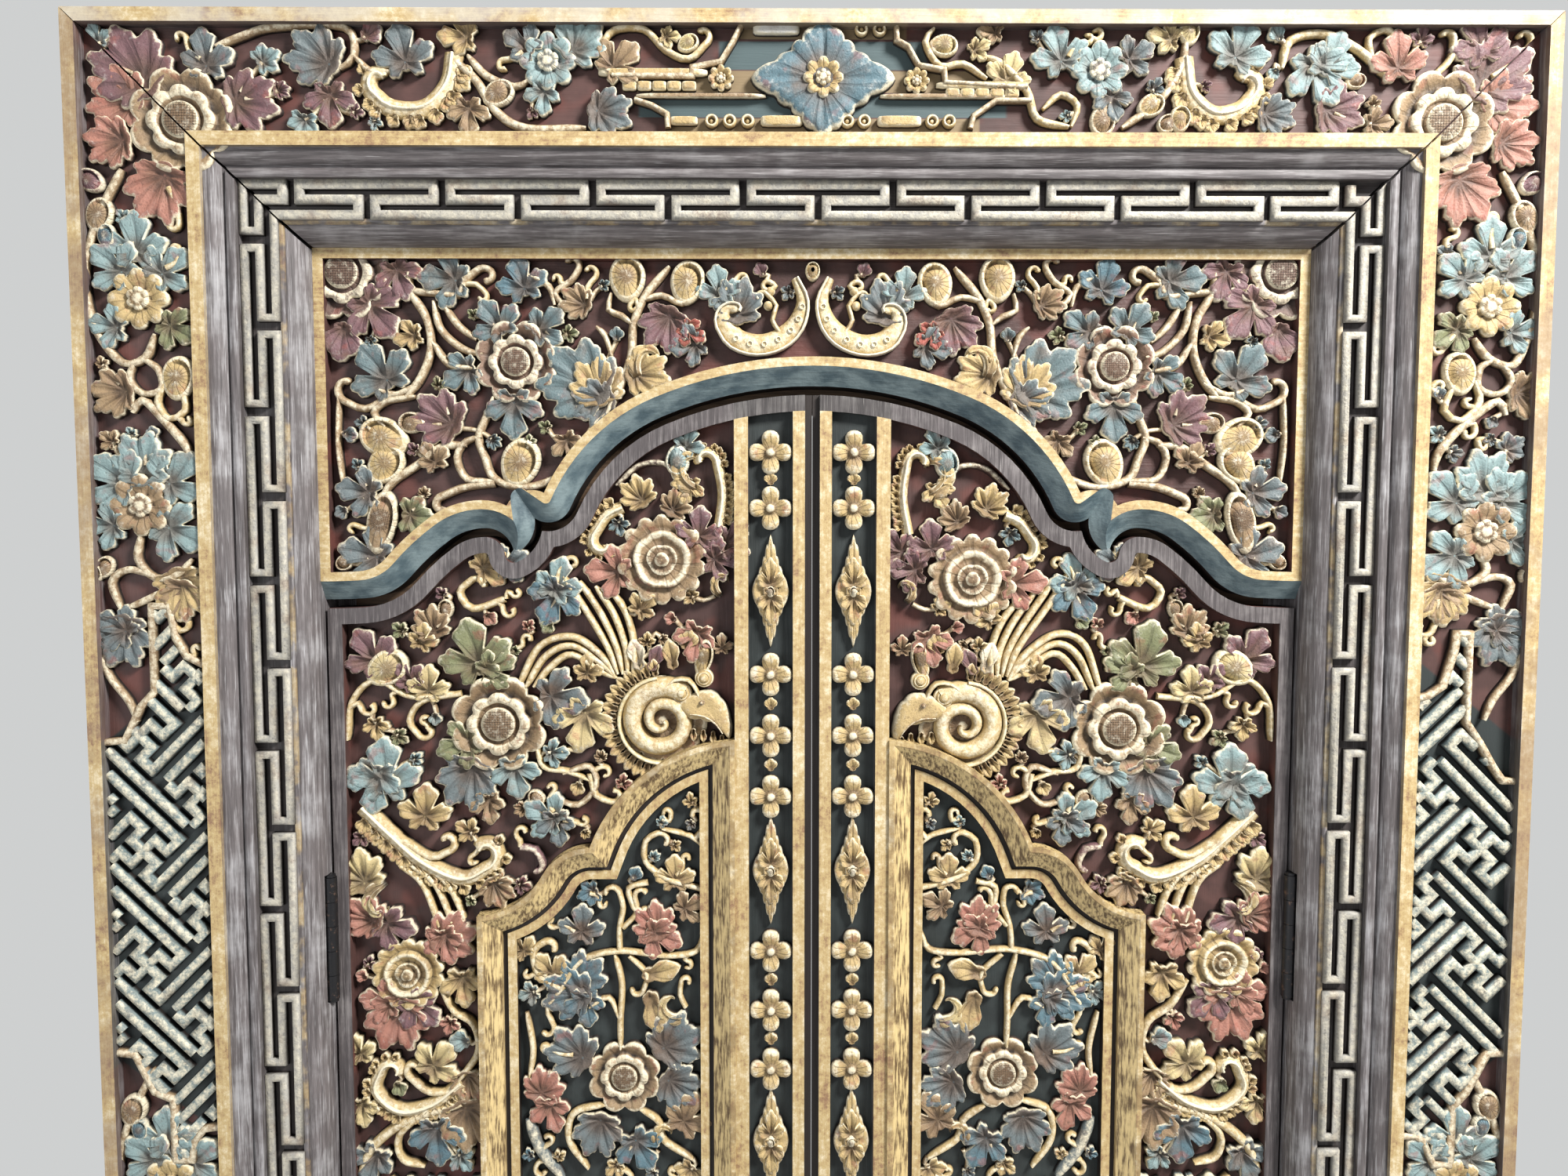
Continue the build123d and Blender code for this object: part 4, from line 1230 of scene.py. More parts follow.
def head_panel():
    """The left half set out, its bare ground filled, and its mirror image beside it."""
    half = Layout(relief=15)
    stem = half.stem
    half.many((
        ("grand", -295, 318, 42, 0, (0.20, 0.125, 0.085), 1.05),
        ("grand", -466, 230, 48, 0, (0.13, 0.08, 0.065), 0.9), ("leaf", -354, 238, 40, -85, TEAL),
        ("leaf", -412, 228, 34, 160, PLUM), ("leaf", -440, 262, 44, 140, PLUM),
        ("leaf", -424, 336, 46, -35, TEAL), ("leaf", -286, 246, 36, -15, BLUE),
        ("leaf", -310, 285, 36, -35, TEAL), ("lean", -272, 286, 34, 48, TEAL),
        ("fan", -360, 380, 52, -62, PLUM), ("ivy", -405, 470, 30, 95, GREEN),
        ("fan", -75, 272, 46, 0, SLATE), ("fan", -142, 272, 46, 205, PLUM),
        ("leaf", -444, 448, 36, -80, SLATE), ("leaf", -438, 512, 42, -75, SLATE),
        ("leaf", -298, 358, 40, 180, TEAL), ("leaf", -342, 326, 32, -120, TEAL),
        ("leaf", -116, 300, 30, -100, SLATE), ("lean", -125, 285, 24, 120, RED),
        ("lean", -395, 292, 24, -110, GOLD), ("single", -465, 285, 30, 190, PLUM),
        ("fan", -216, 346, 74, -62, TEAL), ("fan", -212, 352, 50, -12, GOLD),
        ("fan_flip", -205, 356, 44, -100, SLATE), ("fan", -178, 330, 44, 85, GOLD),
        ("hook", -172, 335, 52, 60, GOLD), ("bud", -184, 234, 22, 0, GOLD),
        ("bud", -124, 238, 21, 10, GOLD), ("fan", -226, 262, 32, -70, TAN),
        ("bud", -430, 392, 24, -70, GOLD), ("bud", -426, 418, 21, 40, GOLD),
        ("lean", -378, 418, 26, -30, TAN), ("bud", -292, 416, 24, 20, GOLD),
        ("lean", -246, 395, 26, 150, TAN), ("pod", -432, 475, 34, 12, TAN), ("bud", 0, 228, 9, 0, GOLD),
    ))
    crescent(half)
    stem(((-205, 368), (-192, 342), (-181, 312), (-178, 280), (-166, 252), (-142, 224)), 9)
    stem(((-180, 280), (-190, 272), (-203, 266), (-200, 250)), 7)
    stem(((-172, 258), (-150, 252), (-130, 260), (-116, 248)), 7)
    stem(((-215, 283), (-206, 292), (-200, 312)), 7)
    stem(((-246, 262), (-256, 250), (-240, 238), (-232, 226)), 7, (-220, 9))
    stem(((-282, 232), (-262, 243), (-256, 262)), 7)
    stem(((-400, 248), (-375, 250), (-352, 252), (-343, 236), (-330, 226)), 8, (250, 10))
    stem(((-405, 352), (-390, 332), (-380, 305), (-383, 276), (-398, 250), (-400, 230)), 9)
    stem(((-432, 345), (-415, 350), (-390, 338)), 8)
    stem(((-420, 350), (-446, 364), (-468, 356)), 8, (200, 14))
    stem(((-396, 352), (-424, 356), (-438, 368), (-426, 382)), 8)
    stem(((-376, 258), (-370, 285), (-348, 305), (-328, 310)), 8)
    stem(((-366, 262), (-352, 282), (-334, 296)), 8)
    stem(((-378, 298), (-362, 320), (-338, 324)), 8)
    stem(((-248, 430), (-285, 442), (-318, 434), (-328, 412), (-334, 392), (-324, 368), (-318, 352)), 9)
    stem(((-318, 436), (-346, 434), (-356, 412), (-346, 396), (-330, 392)), 8)
    stem(((-318, 438), (-348, 442), (-374, 452)), 9, (-230, 9))
    stem(((-346, 400), (-372, 402), (-396, 420), (-420, 436), (-432, 452)), 9)
    stem(((-248, 430), (-232, 410), (-222, 385), (-205, 368)), 7)
    stem(((-472, 352), (-474, 400), (-470, 440)), 6)
    half.fill(HEAD_GROUND, (-476, -8, 222, 520), 3, FOLIAGE, 7, 26)
    return half + half.other_side().nudged(((295, 318, 6, 4, 60), (120, 280, -5, 3, 50)))


carve(head_panel(), "head_panel_carving", HEAD_GROUND, "frame")

# %% [markdown]
# ## The leaves' fields
# A scroll climbs each leaf beside the gilt moulding and spreads out above it: a ruffled flower, a grand
# flower, and a bird's head whose beak meets the stile. Each is set one by one, because the eye knows this
# part of the door best. The right leaf is the mirror of the left, pushed about a little as a second
# carver would.

# %% Leaf fields
def gilt_stems(layout, usual_lift):
    """A way to set stems on a layout that are gold unless they say otherwise."""
    def stem(points, width, curl=(0, 0), tint=GOLD, lift=usual_lift):
        layout.stem(points, width, curl, tint, lift)

    return stem


GARDEN = (TEAL, SEA, SALMON, PLUM, GREEN, GOLD, TAN, GOLD)


def leaf_field():
    """The left leaf's outer field, from its top down to the foot."""
    field = Layout(relief=17)
    stem = gilt_stems(field, 0.78)
    field.many((
        ("ruffle", -152, 515, 46, 0, TAN, 1.05), ("grand", -320, 683, 50, 0, TAN, 1.05),
        ("ruffle", -418, 945, 38, 0, GOLD, 1.05), ("lean", -128, 402, 26, 20, SEA),
        ("bud", -136, 416, 15, 180, SEA), ("hook", -112, 446, 62, 15, GOLD),
        ("fan", -172, 456, 34, -30, GOLD), ("fan", -142, 466, 30, 30, TAN),
        ("leaf", -115, 492, 34, 5, PLUM), ("lean", -88, 500, 34, 40, PLUM),
        ("leaf", -100, 515, 32, 85, PLUM), ("hook", -92, 552, 34, 40, GOLD),
        ("leaf", -196, 528, 38, -85, SALMON), ("lean", -262, 545, 38, 15, SEA),
        ("leaf", -258, 548, 40, 205, BLUE), ("leaf", -312, 522, 30, 60, SLATE),
        ("lean", -334, 524, 34, 55, GOLD), ("fan", -385, 590, 36, -15, TAN),
        ("leaf", -340, 622, 52, -15, GREEN), ("lean", -330, 628, 34, 60, GREEN),
        ("leaf", -445, 618, 40, -30, PLUM), ("bud", -432, 625, 22, 60, STRAW),
        ("leaf", -392, 650, 30, 5, STRAW), ("lean", -408, 640, 26, -40, PLUM),
        ("lean", -398, 600, 24, 10, GOLD), ("leaf", -268, 655, 44, 100, SLATE),
        ("leaf", -232, 672, 44, 190, STRAW), ("lean", -230, 632, 24, 0, GOLD),
        ("leaf", -438, 745, 52, 0, SEA), ("lean", -445, 735, 46, 185, SEA),
        ("leaf", -352, 702, 36, -110, GREEN), ("fan", -348, 728, 56, 200, SLATE),
        ("leaf", -305, 728, 36, 170, SEA), ("leaf", -398, 780, 38, 5, GOLD),
        ("lean", -332, 762, 28, 170, TAN), ("leaf", -266, 782, 36, -60, SEA),
        ("lean", -262, 782, 32, 170, SLATE), ("fan", -462, 850, 46, -20, STRAW),
        ("hook_flip", -440, 850, 52, 160, STRAW), ("fan", -452, 890, 42, -60, SALMON),
        ("lean", -440, 892, 36, 100, PLUM), ("fan", -384, 912, 50, 55, SALMON),
        ("lean", -380, 905, 34, 160, SALMON), ("lean", -362, 950, 34, 170, GOLD),
        ("leaf", -438, 975, 34, -80, SALMON), ("fan", -428, 978, 60, 188, SALMON),
        ("lean", -412, 975, 38, 130, PLUM), ("lean", -470, 1032, 26, -20, STRAW),
        ("leaf", -395, 1045, 36, 40, STRAW), ("fan", -360, 1055, 34, 170, TAN),
        ("leaf", -470, 1085, 26, 170, STRAW), ("fan", -362, 1090, 56, 165, TAN),
        ("leaf", -392, 1112, 42, 175, BLUE), ("lean", -455, 1140, 36, 200, SLATE),
        ("fan", -330, 850, 34, 140, TAN), ("lean", -116, 590, 34, 190, SALMON),
    ))
    bird_head(field)
    field.scroll(((-94, 482), (-90, 448), (-96, 414)), 17, (-210, 13))
    field.put("leaf", -124, 438, 24, 200, GOLD)
    field.scroll(((-192, 462), (-208, 470), (-222, 490)), 19, (-215, 14), GOLD)
    stem(((-198, 440), (-175, 420), (-150, 418), (-132, 432)), 7, (0, 0), MAROON)
    stem(((-312, 555), (-345, 565), (-358, 548), (-345, 535)), 8, (160, 10))
    for k in range(4):
        upper = (-252 + 16 * k, 532 + 5 * k), (-228 + 13 * k, 570)
        lower = (-208 + 9 * k, 605), (-198 + 5 * k, 632)
        stem(upper + lower, 8)
    for k in range(3):
        rise = (-300 + 8 * k, 645), (-278 + 6 * k, 604 + 10 * k), (-244, 594 + 9 * k)
        fall = (-214, 614 + 8 * k), (-200, 636)
        stem(rise + fall, 8)
    stem(((-475, 700), (-470, 660), (-445, 638), (-410, 655), (-360, 652)), 7)
    stem(((-358, 652), (-398, 660), (-412, 680), (-402, 696)), 7, (-220, 9))
    stem(((-255, 735), (-228, 728), (-222, 748), (-240, 768), (-262, 762)), 7, (0, 0), TAN)
    stem(((-282, 705), (-275, 728), (-250, 733), (-228, 742)), 7)
    stem(((-228, 735), (-222, 758), (-206, 765)), 7, (-230, 9))
    field.scroll(((-462, 770), (-432, 800), (-400, 828), (-360, 845), (-330, 832)), 26, (-230, 17))
    stem(((-420, 805), (-392, 822), (-372, 815)), 9, (-240, 10))
    stem(((-300, 812), (-285, 815), (-278, 828)), 8, (150, 9), PLUM)
    for k in range(3):
        stem(((-425 + 12 * k, 830), (-402 + 13 * k, 850), (-385 + 13 * k, 895 - 4 * k)), 8)
    stem(((-385, 960), (-372, 985), (-352, 1000), (-348, 1030), (-368, 1060)), 8)
    field.scroll(((-365, 1062), (-395, 1085), (-430, 1092), (-455, 1070), (-448, 1046)), 21, (200, 13))
    stem(((-362, 1070), (-398, 1072), (-420, 1055)), 9, (200, 10))
    stem(((-365, 1085), (-420, 1102), (-458, 1130), (-474, 1160)), 11)
    stem(((-400, 1090), (-432, 1120), (-428, 1145), (-405, 1152)), 8)
    lower_vine(field)
    field.fill(FIELD_GROUND, (-474, -90, 372, 1150), 11, GARDEN, 6.5, 26)
    field.fill(FIELD_GROUND, (-474, -340, 1150, 2150), 12, GARDEN, 13, 30)
    field.fill(FIELD_GROUND, (-474, -90, 2150, 2284), 13, GARDEN, 13, 30)
    return field


def bird_head(field):
    """A bird's head in profile: a spiral cheek, a ruff of scallops, a ringed eye and a toothed beak."""
    x, down = -153, 680
    turn = np.linspace(0, 1, 46)
    swing = np.radians(52 + 660 * turn)
    radius = 34 * (1 - turn) ** 0.8 + 2
    path = np.column_stack([x + radius * np.cos(swing), field.top - down + radius * np.sin(swing)])
    field.stems.append([path, 0.30 * radius + 1.4, GOLD, 1.1])
    field.put("cheek", x, down, 46, 0, TAN, 0.55)
    hoop = np.radians(np.linspace(96, 268, 30))
    path = np.column_stack([x + 44 * np.cos(hoop), field.top - down + 44 * np.sin(hoop)])
    field.stems.append([path, np.full(len(path), 2.6), STRAW, 0.95])
    for k in range(18):
        out = math.radians(98 + 9.6 * k)
        spot = (x + 49 * math.cos(out), down - 49 * math.sin(out))
        field.put("blade", *spot, 15, 90 - math.degrees(out), GOLD, 0.9, 1.0)
    field.put("beak", -108, 665, 43, 0, GOLD, 1.15)
    for tooth, drop in ((-121, 690), (-111, 691), (-101, 693), (-92, 697)):
        field.put("blade", tooth, drop, 11, 180, GOLD, 1.0, 0.9)
    field.put("eye", -133, 651, 11, 0, GOLD, 1.15)
    field.put("eye", -112, 660, 4.5, 0, TAN, 1.3)
    field.stem(((-124, 672), (-110, 674), (-98, 682), (-91, 692)), 3, (0, 0), TAN, 1.24)
    field.put("eye", -110, 636, 10, 0, GOLD, 1.0)
    field.stem(((-150, 646), (-140, 638), (-126, 638), (-118, 648), (-112, 662)), 5, (0, 0), GOLD, 1.1)
    field.many((
        ("blade", -176, 622, 27, -14, CREAM, 1.0), ("blade", -163, 624, 24, 22, PLUM, 0.95),
        ("blade", -142, 622, 26, -8, GOLD, 1.0), ("single", -128, 604, 17, 10, GOLD, 0.9),
        ("pod", -110, 614, 21, 12, GOLD, 0.95), ("leaf", -92, 606, 17, 0, TAN, 0.8),
    ))


def wreath(layout, kind, x, down, share, leaves):
    """Leaves round a flower, each row as (turn, size, tint); their size is taken at a share."""
    for turn, size, tint in leaves:
        out = math.radians(turn)
        heart = (x + 34 * math.sin(out), down - 34 * math.cos(out))
        layout.put(kind, *heart, size * share, turn, tint, 0.85)


def lower_vine(field):
    """Below the photograph the scroll goes on: a winding stem with a flower in every bend."""
    centre, swing, pitch = -408, 34, 250
    leaves = ((-60, 44, SEA), (0, 40, GREEN), (65, 44, SALMON), (120, 38, PLUM), (190, 42, SEA))
    for k in range(4):
        x, down = centre + (14 if k % 2 else -14), 1230 + k * pitch
        kind, tint = (("grand", TAN), ("ruffle", STRAW))[k % 2]
        field.put(kind, x, down, 42, 0, tint)
        wreath(field, "leaf", x, down, 0.85, leaves)
    zigzag = [(centre + (swing if k % 2 else -swing), 1165 + k * pitch / 2) for k in range(10)]
    field.stem(zigzag, 11, (0, 0), GOLD)
    for x in (-300, -200, -120):
        field.put("leaf", x, 2222, 40, 90 * (1 if x > -250 else -1), SEA)


left_field = leaf_field()
right_field = left_field.other_side(-1).nudged((
    (152, 515, 12, 20, 70), (320, 683, -4, 6, 70), (418, 945, 12, -10, 60), (155, 675, 4, 6, 60),
    (250, 560, 10, -6, 50), (440, 750, -6, 8, 50),
))
hinge_edge = 482
for side, hand, field in ((-1, "left", left_field), (1, "right", right_field)):
    name, body = "leaf_field_carving_" + hand, "leaf_" + hand
    limits = [((side * hinge_edge, 0, 0), (side, 0, 0))]
    carve(field, name, FIELD_GROUND, body, round_back, limits)

# %% [markdown]
# ## The lower panels
# Inside the gilt moulding the ground is dark green-grey and the work is a little flatter: one open
# flower, and leaves in blue, teal and red on a running stem. Below the photograph the stem goes on in
# even bends, with flowers like those above, since nothing there can be seen and a plain rhythm claims the
# least.

# %% Lower panels
def lower_panel():
    """The left leaf's panel inside its moulding."""
    panel = Layout(relief=12)
    stem = gilt_stems(panel, 0.8)
    panel.many((
        ("leaf", -240, 905, 34, 5, SLATE), ("fan", -160, 905, 42, -20, SALMON),
        ("lean", -165, 905, 36, 110, SALMON), ("leaf", -132, 880, 26, 60, TAN),
        ("leaf", -142, 850, 30, 0, GOLD), ("lean", -270, 950, 30, -40, GOLD),
        ("blade", -170, 950, 34, 75, GOLD), ("blade", -168, 975, 38, 165, GOLD),
        ("hook", -130, 995, 48, -20, STRAW), ("fan", -245, 960, 46, 30, BLUE),
        ("fan", -240, 972, 52, -80, BLUE), ("lean", -236, 975, 34, 170, BLUE),
        ("fan", -240, 1040, 52, -55, SLATE), ("grand", -196, 1060, 39, 0, TAN),
        ("fan", -155, 1030, 56, 50, SLATE), ("fan", -150, 1065, 46, 115, SLATE),
        ("fan", -285, 1080, 40, 20, SALMON), ("lean", -275, 1090, 34, 160, SALMON),
        ("fan", -222, 1108, 48, 190, SLATE), ("leaf", -185, 1130, 38, 150, BLUE),
        ("lean", -135, 1110, 40, 20, TAN), ("hook", -160, 1135, 36, 60, GOLD),
        ("lean", -300, 925, 24, -40, GOLD),
    ))
    stem(((-112, 815), (-125, 803), (-155, 795)), 6)
    stem(((-120, 805), (-108, 790), (-112, 778)), 7, (-200, 8))
    stem(((-110, 860), (-150, 848), (-172, 830), (-172, 808), (-160, 800)), 7, (190, 10))
    stem(((-170, 852), (-190, 858), (-185, 878)), 7, (-160, 9))
    stem(((-112, 905), (-120, 925), (-150, 930), (-200, 925), (-240, 935), (-262, 965)), 7, lift=0.85)
    stem(((-205, 928), (-198, 960), (-200, 1000), (-200, 1030)), 7, lift=0.85)
    stem(((-262, 965), (-285, 950), (-290, 925), (-278, 915)), 8, (180, 9))
    stem(((-200, 925), (-200, 900), (-196, 878), (-200, 862)), 6.5, (-190, 10))
    stem(((-196, 900), (-182, 884), (-184, 868)), 6, (190, 9))
    stem(((-258, 962), (-276, 985), (-270, 1005)), 6, (200, 9))
    stem(((-190, 930), (-172, 950), (-176, 968)), 6, (200, 8))
    stem(((-232, 985), (-212, 975), (-200, 1000)), 6)
    stem(((-298, 990), (-292, 1030), (-296, 1060)), 7)
    stem(((-216, 1090), (-250, 1100), (-255, 1130), (-235, 1160)), 8)
    stem(((-180, 1095), (-160, 1110), (-155, 1130), (-125, 1150)), 8)
    stem(((-298, 1105), (-285, 1140), (-262, 1170)), 13, (0, 0), SLATE, 0.9)
    stem(((-112, 1005), (-106, 1050), (-112, 1090)), 6)
    centre, swing, pitch = -200, 52, 112
    stem([(centre + (swing if k % 2 else -swing), 1175 + k * pitch) for k in range(9)], 8, lift=0.85)
    leaves = ((-70, 46, SLATE), (0, 44, BLUE), (70, 46, SALMON), (135, 44, SEA), (215, 44, SLATE))
    for k in range(4):
        x, down = centre - (20 if k % 2 else -20), 1285 + 2 * pitch * k
        kind, tint = (("ruffle", STRAW), ("grand", TAN))[k % 2]
        panel.put(kind, x, down, 38, 0, tint)
        wreath(panel, "fan", x, down, 1, leaves)
    panel.fill(PANEL_GROUND, (-308, -105, 745, 1170), 21, (SLATE, SEA, BLUE, GOLD, GOLD), 7, 24)
    panel.fill(PANEL_GROUND, (-308, -105, 1170, 2150), 22, (SLATE, SEA, BLUE, SALMON, GOLD), 13, 30)
    return panel


left_panel = lower_panel()
right_panel = left_panel.other_side(-1).nudged((
    (196, 1060, 8, -6, 60), (160, 905, 12, -4, 45), (240, 960, 14, 2, 60), (150, 1035, -4, 8, 50),
))
for hand, panel in (("left", left_panel), ("right", right_panel)):
    carve(panel, "lower_panel_carving_" + hand, PANEL_GROUND, "leaf_" + hand)

# %% [markdown]
# ## The meeting stiles
# A chain of small flowers and pointed leaves runs the whole height of each stile. Its rhythm repeats
# every 288 mm, so a loop sets the points and the carver's tree stands a motif on each. A carver
# could cut each chain from one long strip and let it into the stile.

# %% Stile chains
def stile_chain():
    """Lozenges with a leaf above and below, and three small flowers between each two."""
    chain = Layout(relief=12)
    centre, rhythm, first_diamond, last_flower, foot = -42, 288, 547, 2262, 88
    flowers = [407, 463]
    for k in range(6):
        diamond = first_diamond + k * rhythm
        chain.put("lozenge", centre, diamond, 75, 0, GOLD, 0.8, 0.275)
        for turn in (0, 180):
            chain.put("leaf", centre, diamond + (6 if turn else -6), 30, turn, GOLD, 1.1, 0.62)
        chain.put("bud", centre, diamond, 5.5, 0, CREAM, 1.1)
        flowers += [diamond + 85, diamond + 148, diamond + 211]
    for down in flowers:
        if down < last_flower:
            chain.put("quatre", centre, down, 22, 0, GOLD)
    for upper, lower in zip(flowers, flowers[1:]):
        if lower - upper < 80 and lower < last_flower:
            chain.put("single", centre, (upper + lower) / 2 + 3, 10, 0, GOLD, 0.8)
    chain.marks = [mark for mark in chain.marks if mark[2] > foot]
    return chain


left_chain = stile_chain()
for hand, chain in (("left", left_chain), ("right", left_chain.other_side())):
    carve(chain, "stile_chain_" + hand, STILE_GROUND, "leaf_" + hand)

# %% [markdown]
# ## The frame's carved band
# Flowers and leaves alternate with a key lattice of the kind called banji. The head has a cartouche in
# its middle, with a blue diamond flower between rows of rings and bars. The three pieces meet in mitres,
# so each is carved a little too long and then sawn off along the joint.

# %% Head and jamb foliage
def corner(layout, side):
    """The flower that turns the corner."""
    layout.put("grand", side * 594, 100, 50, 0, TAN, 1.05)
    layout.put("fan", side * 628, 66, 70, side * 42, PLUM, 0.9)
    layout.put("fan", side * 640, 82, 54, side * 78, SALMON, 0.8)


def head_band():
    """The band over the door, which has no mirror plane."""
    band = Layout(relief=12)
    stem = band.stem
    band.many((
        ("lean", -570, 50, 38, -8, SLATE), ("fan", -455, 48, 52, -62, SLATE),
        ("fan", -545, 82, 52, 88, PLUM), ("leaf", -455, 76, 34, 178, PLUM),
        ("leaf", -384, 46, 40, -10, SLATE), ("lean", -326, 24, 30, -90, GOLD),
        ("leaf", -325, 88, 28, 180, TAN), ("bud", -296, 74, 15, 60, TAN), ("rosette", -250, 45, 27, 0, SEA),
        ("lean", -268, 34, 30, -60, SLATE), ("fan", -228, 36, 46, 35, SEA),
        ("lean", -254, 72, 26, 180, SEA), ("fan", -205, 90, 42, 98, SLATE), ("leaf", -190, 50, 34, 50, TAN),
        ("lean", -140, 22, 16, 90, STRAW), ("bud", -118, 28, 10, 60, STRAW),
        ("bud", 122, 30, 13, 90, STRAW), ("lean", 150, 34, 18, 60, STRAW), ("lean", 170, 18, 20, -90, TAN),
        ("leaf", 180, 62, 30, 20, STRAW), ("leaf", 232, 44, 38, -15, SEA), ("rosette", 268, 52, 27, 0, SEA),
        ("leaf", 296, 42, 28, 60, SLATE), ("leaf", 280, 76, 26, 170, SLATE),
        ("lean", 335, 24, 26, -80, STRAW), ("bud", 352, 16, 12, 0, STRAW), ("leaf", 396, 40, 42, 20, SEA),
        ("leaf", 470, 46, 46, 150, SEA), ("lean", 482, 50, 40, 20, SEA), ("fan", 425, 92, 36, 95, SLATE),
        ("fan", 482, 88, 46, 95, PLUM), ("leaf", 550, 50, 38, -5, SALMON), ("leaf", 628, 34, 38, -20, PLUM),
        ("bud", 345, 96, 12, 0, GOLD), ("bud", 318, 84, 13, 60, GOLD),
    ))
    corner(band, -1)
    corner(band, 1)
    stem(((-560, 32), (-535, 22), (-505, 14), (-440, 14), (-432, 40), (-445, 52)), 8)
    stem(((-432, 40), (-415, 55), (-395, 54)), 7)
    band.scroll(((-338, 38), (-344, 66), (-366, 88), (-398, 88), (-416, 74)), 26, (200, 14))
    stem(((-338, 44), (-318, 62), (-300, 90), (-272, 106), (-215, 106)), 9)
    stem(((-325, 40), (-308, 58), (-282, 68), (-268, 62)), 8)
    stem(((-200, 30), (-188, 16), (-160, 15), (-140, 34), (-118, 42), (-100, 26)), 7, (-210, 8), GOLD)
    stem(((112, 14), (104, 26), (118, 48), (140, 46), (162, 60)), 7, (0, 0), GOLD)
    stem(((160, 40), (175, 45), (200, 70), (210, 96), (240, 104)), 8, (0, 0), GOLD)
    stem(((215, 88), (232, 74), (248, 84), (242, 104)), 7, (0, 0), GOLD)
    stem(((290, 105), (325, 80), (345, 50), (350, 20)), 8)
    band.scroll(((348, 40), (354, 72), (376, 92), (402, 88), (416, 74)), 26, (-200, 14))
    stem(((440, 50), (448, 24), (480, 18), (515, 34), (540, 58)), 9, (0, 0), GOLD)
    stem(((525, 42), (522, 22), (535, 14)), 7, (160, 8), GOLD)
    stem(((585, 56), (600, 40), (602, 22)), 7, (-190, 8), GOLD)
    cartouche(band)
    band.fill(BAND_GROUND, (-684, -205, 16, 108), 31, (SLATE, PLUM, TAN, SEA), 7, 22)
    band.fill(BAND_GROUND, (205, 684, 16, 108), 32, (SLATE, PLUM, TAN, SEA), 7, 22)
    return band


def cartouche(band):
    """Rings, bars and stepped borders round a diamond flower."""
    centre = CARTOUCHE_MIDDLE
    band.put("lozenge", centre, 60, 74, 0, BLUE, 1.1)
    band.put("rosette", centre, 60, 19, 0, GOLD, 1.25)
    for x, down, half_width, half_height, tint, lift in (
        (-131, 99, 13, 4, GOLD, 0.75), (-39, 99, 20, 5, GOLD, 0.75),
        (72, 99, 21, 5, GOLD, 0.75), (-44, 15, 22, 5, BONE, 0.75), (-160, 55, 52, 3.5, GOLD, 0.8),
        (150, 66, 44, 3, GOLD, 0.8), (-115, 76, 62, 2, TAN, 0.7), (115, 76, 62, 2, TAN, 0.7),
    ):
        band.put("bar", centre + x, down, half_height, 0, tint, lift, half_width / half_height)
    for x in (-182, -168, -154, -140, -126, 122, 136, 150, 164, 178):
        band.put("bar", centre + x, 67 if x < 0 else 73, 4.2, 0, GOLD, 0.75, 1.6)
    for x in (-105, -88, -71, 23, 39, 103, 119, 36, 53):
        down = 15 if x in (36, 53) else 99
        band.put("ring", centre + x, down, 6.5, 0, GOLD, 0.8)
    for x, down in ((-96, 60), (88, 62)):
        band.put("rosette", centre + x, down, 12, 0, GOLD, 0.95)
    for border in (
        ((-77, 12), (-85, 27), (-96, 45), (-123, 50), (-123, 58), (-198, 58)),
        ((-177, 80), (-161, 85), (-147, 93), (-146, 106)),
        ((69, 12), (69, 25), (80, 31), (90, 48), (114, 52), (115, 64), (192, 68)),
        ((196, 80), (163, 80), (142, 94), (139, 106)),
    ):
        band.line([(centre + x, down) for x, down in border], 6, TAN, 0.92)


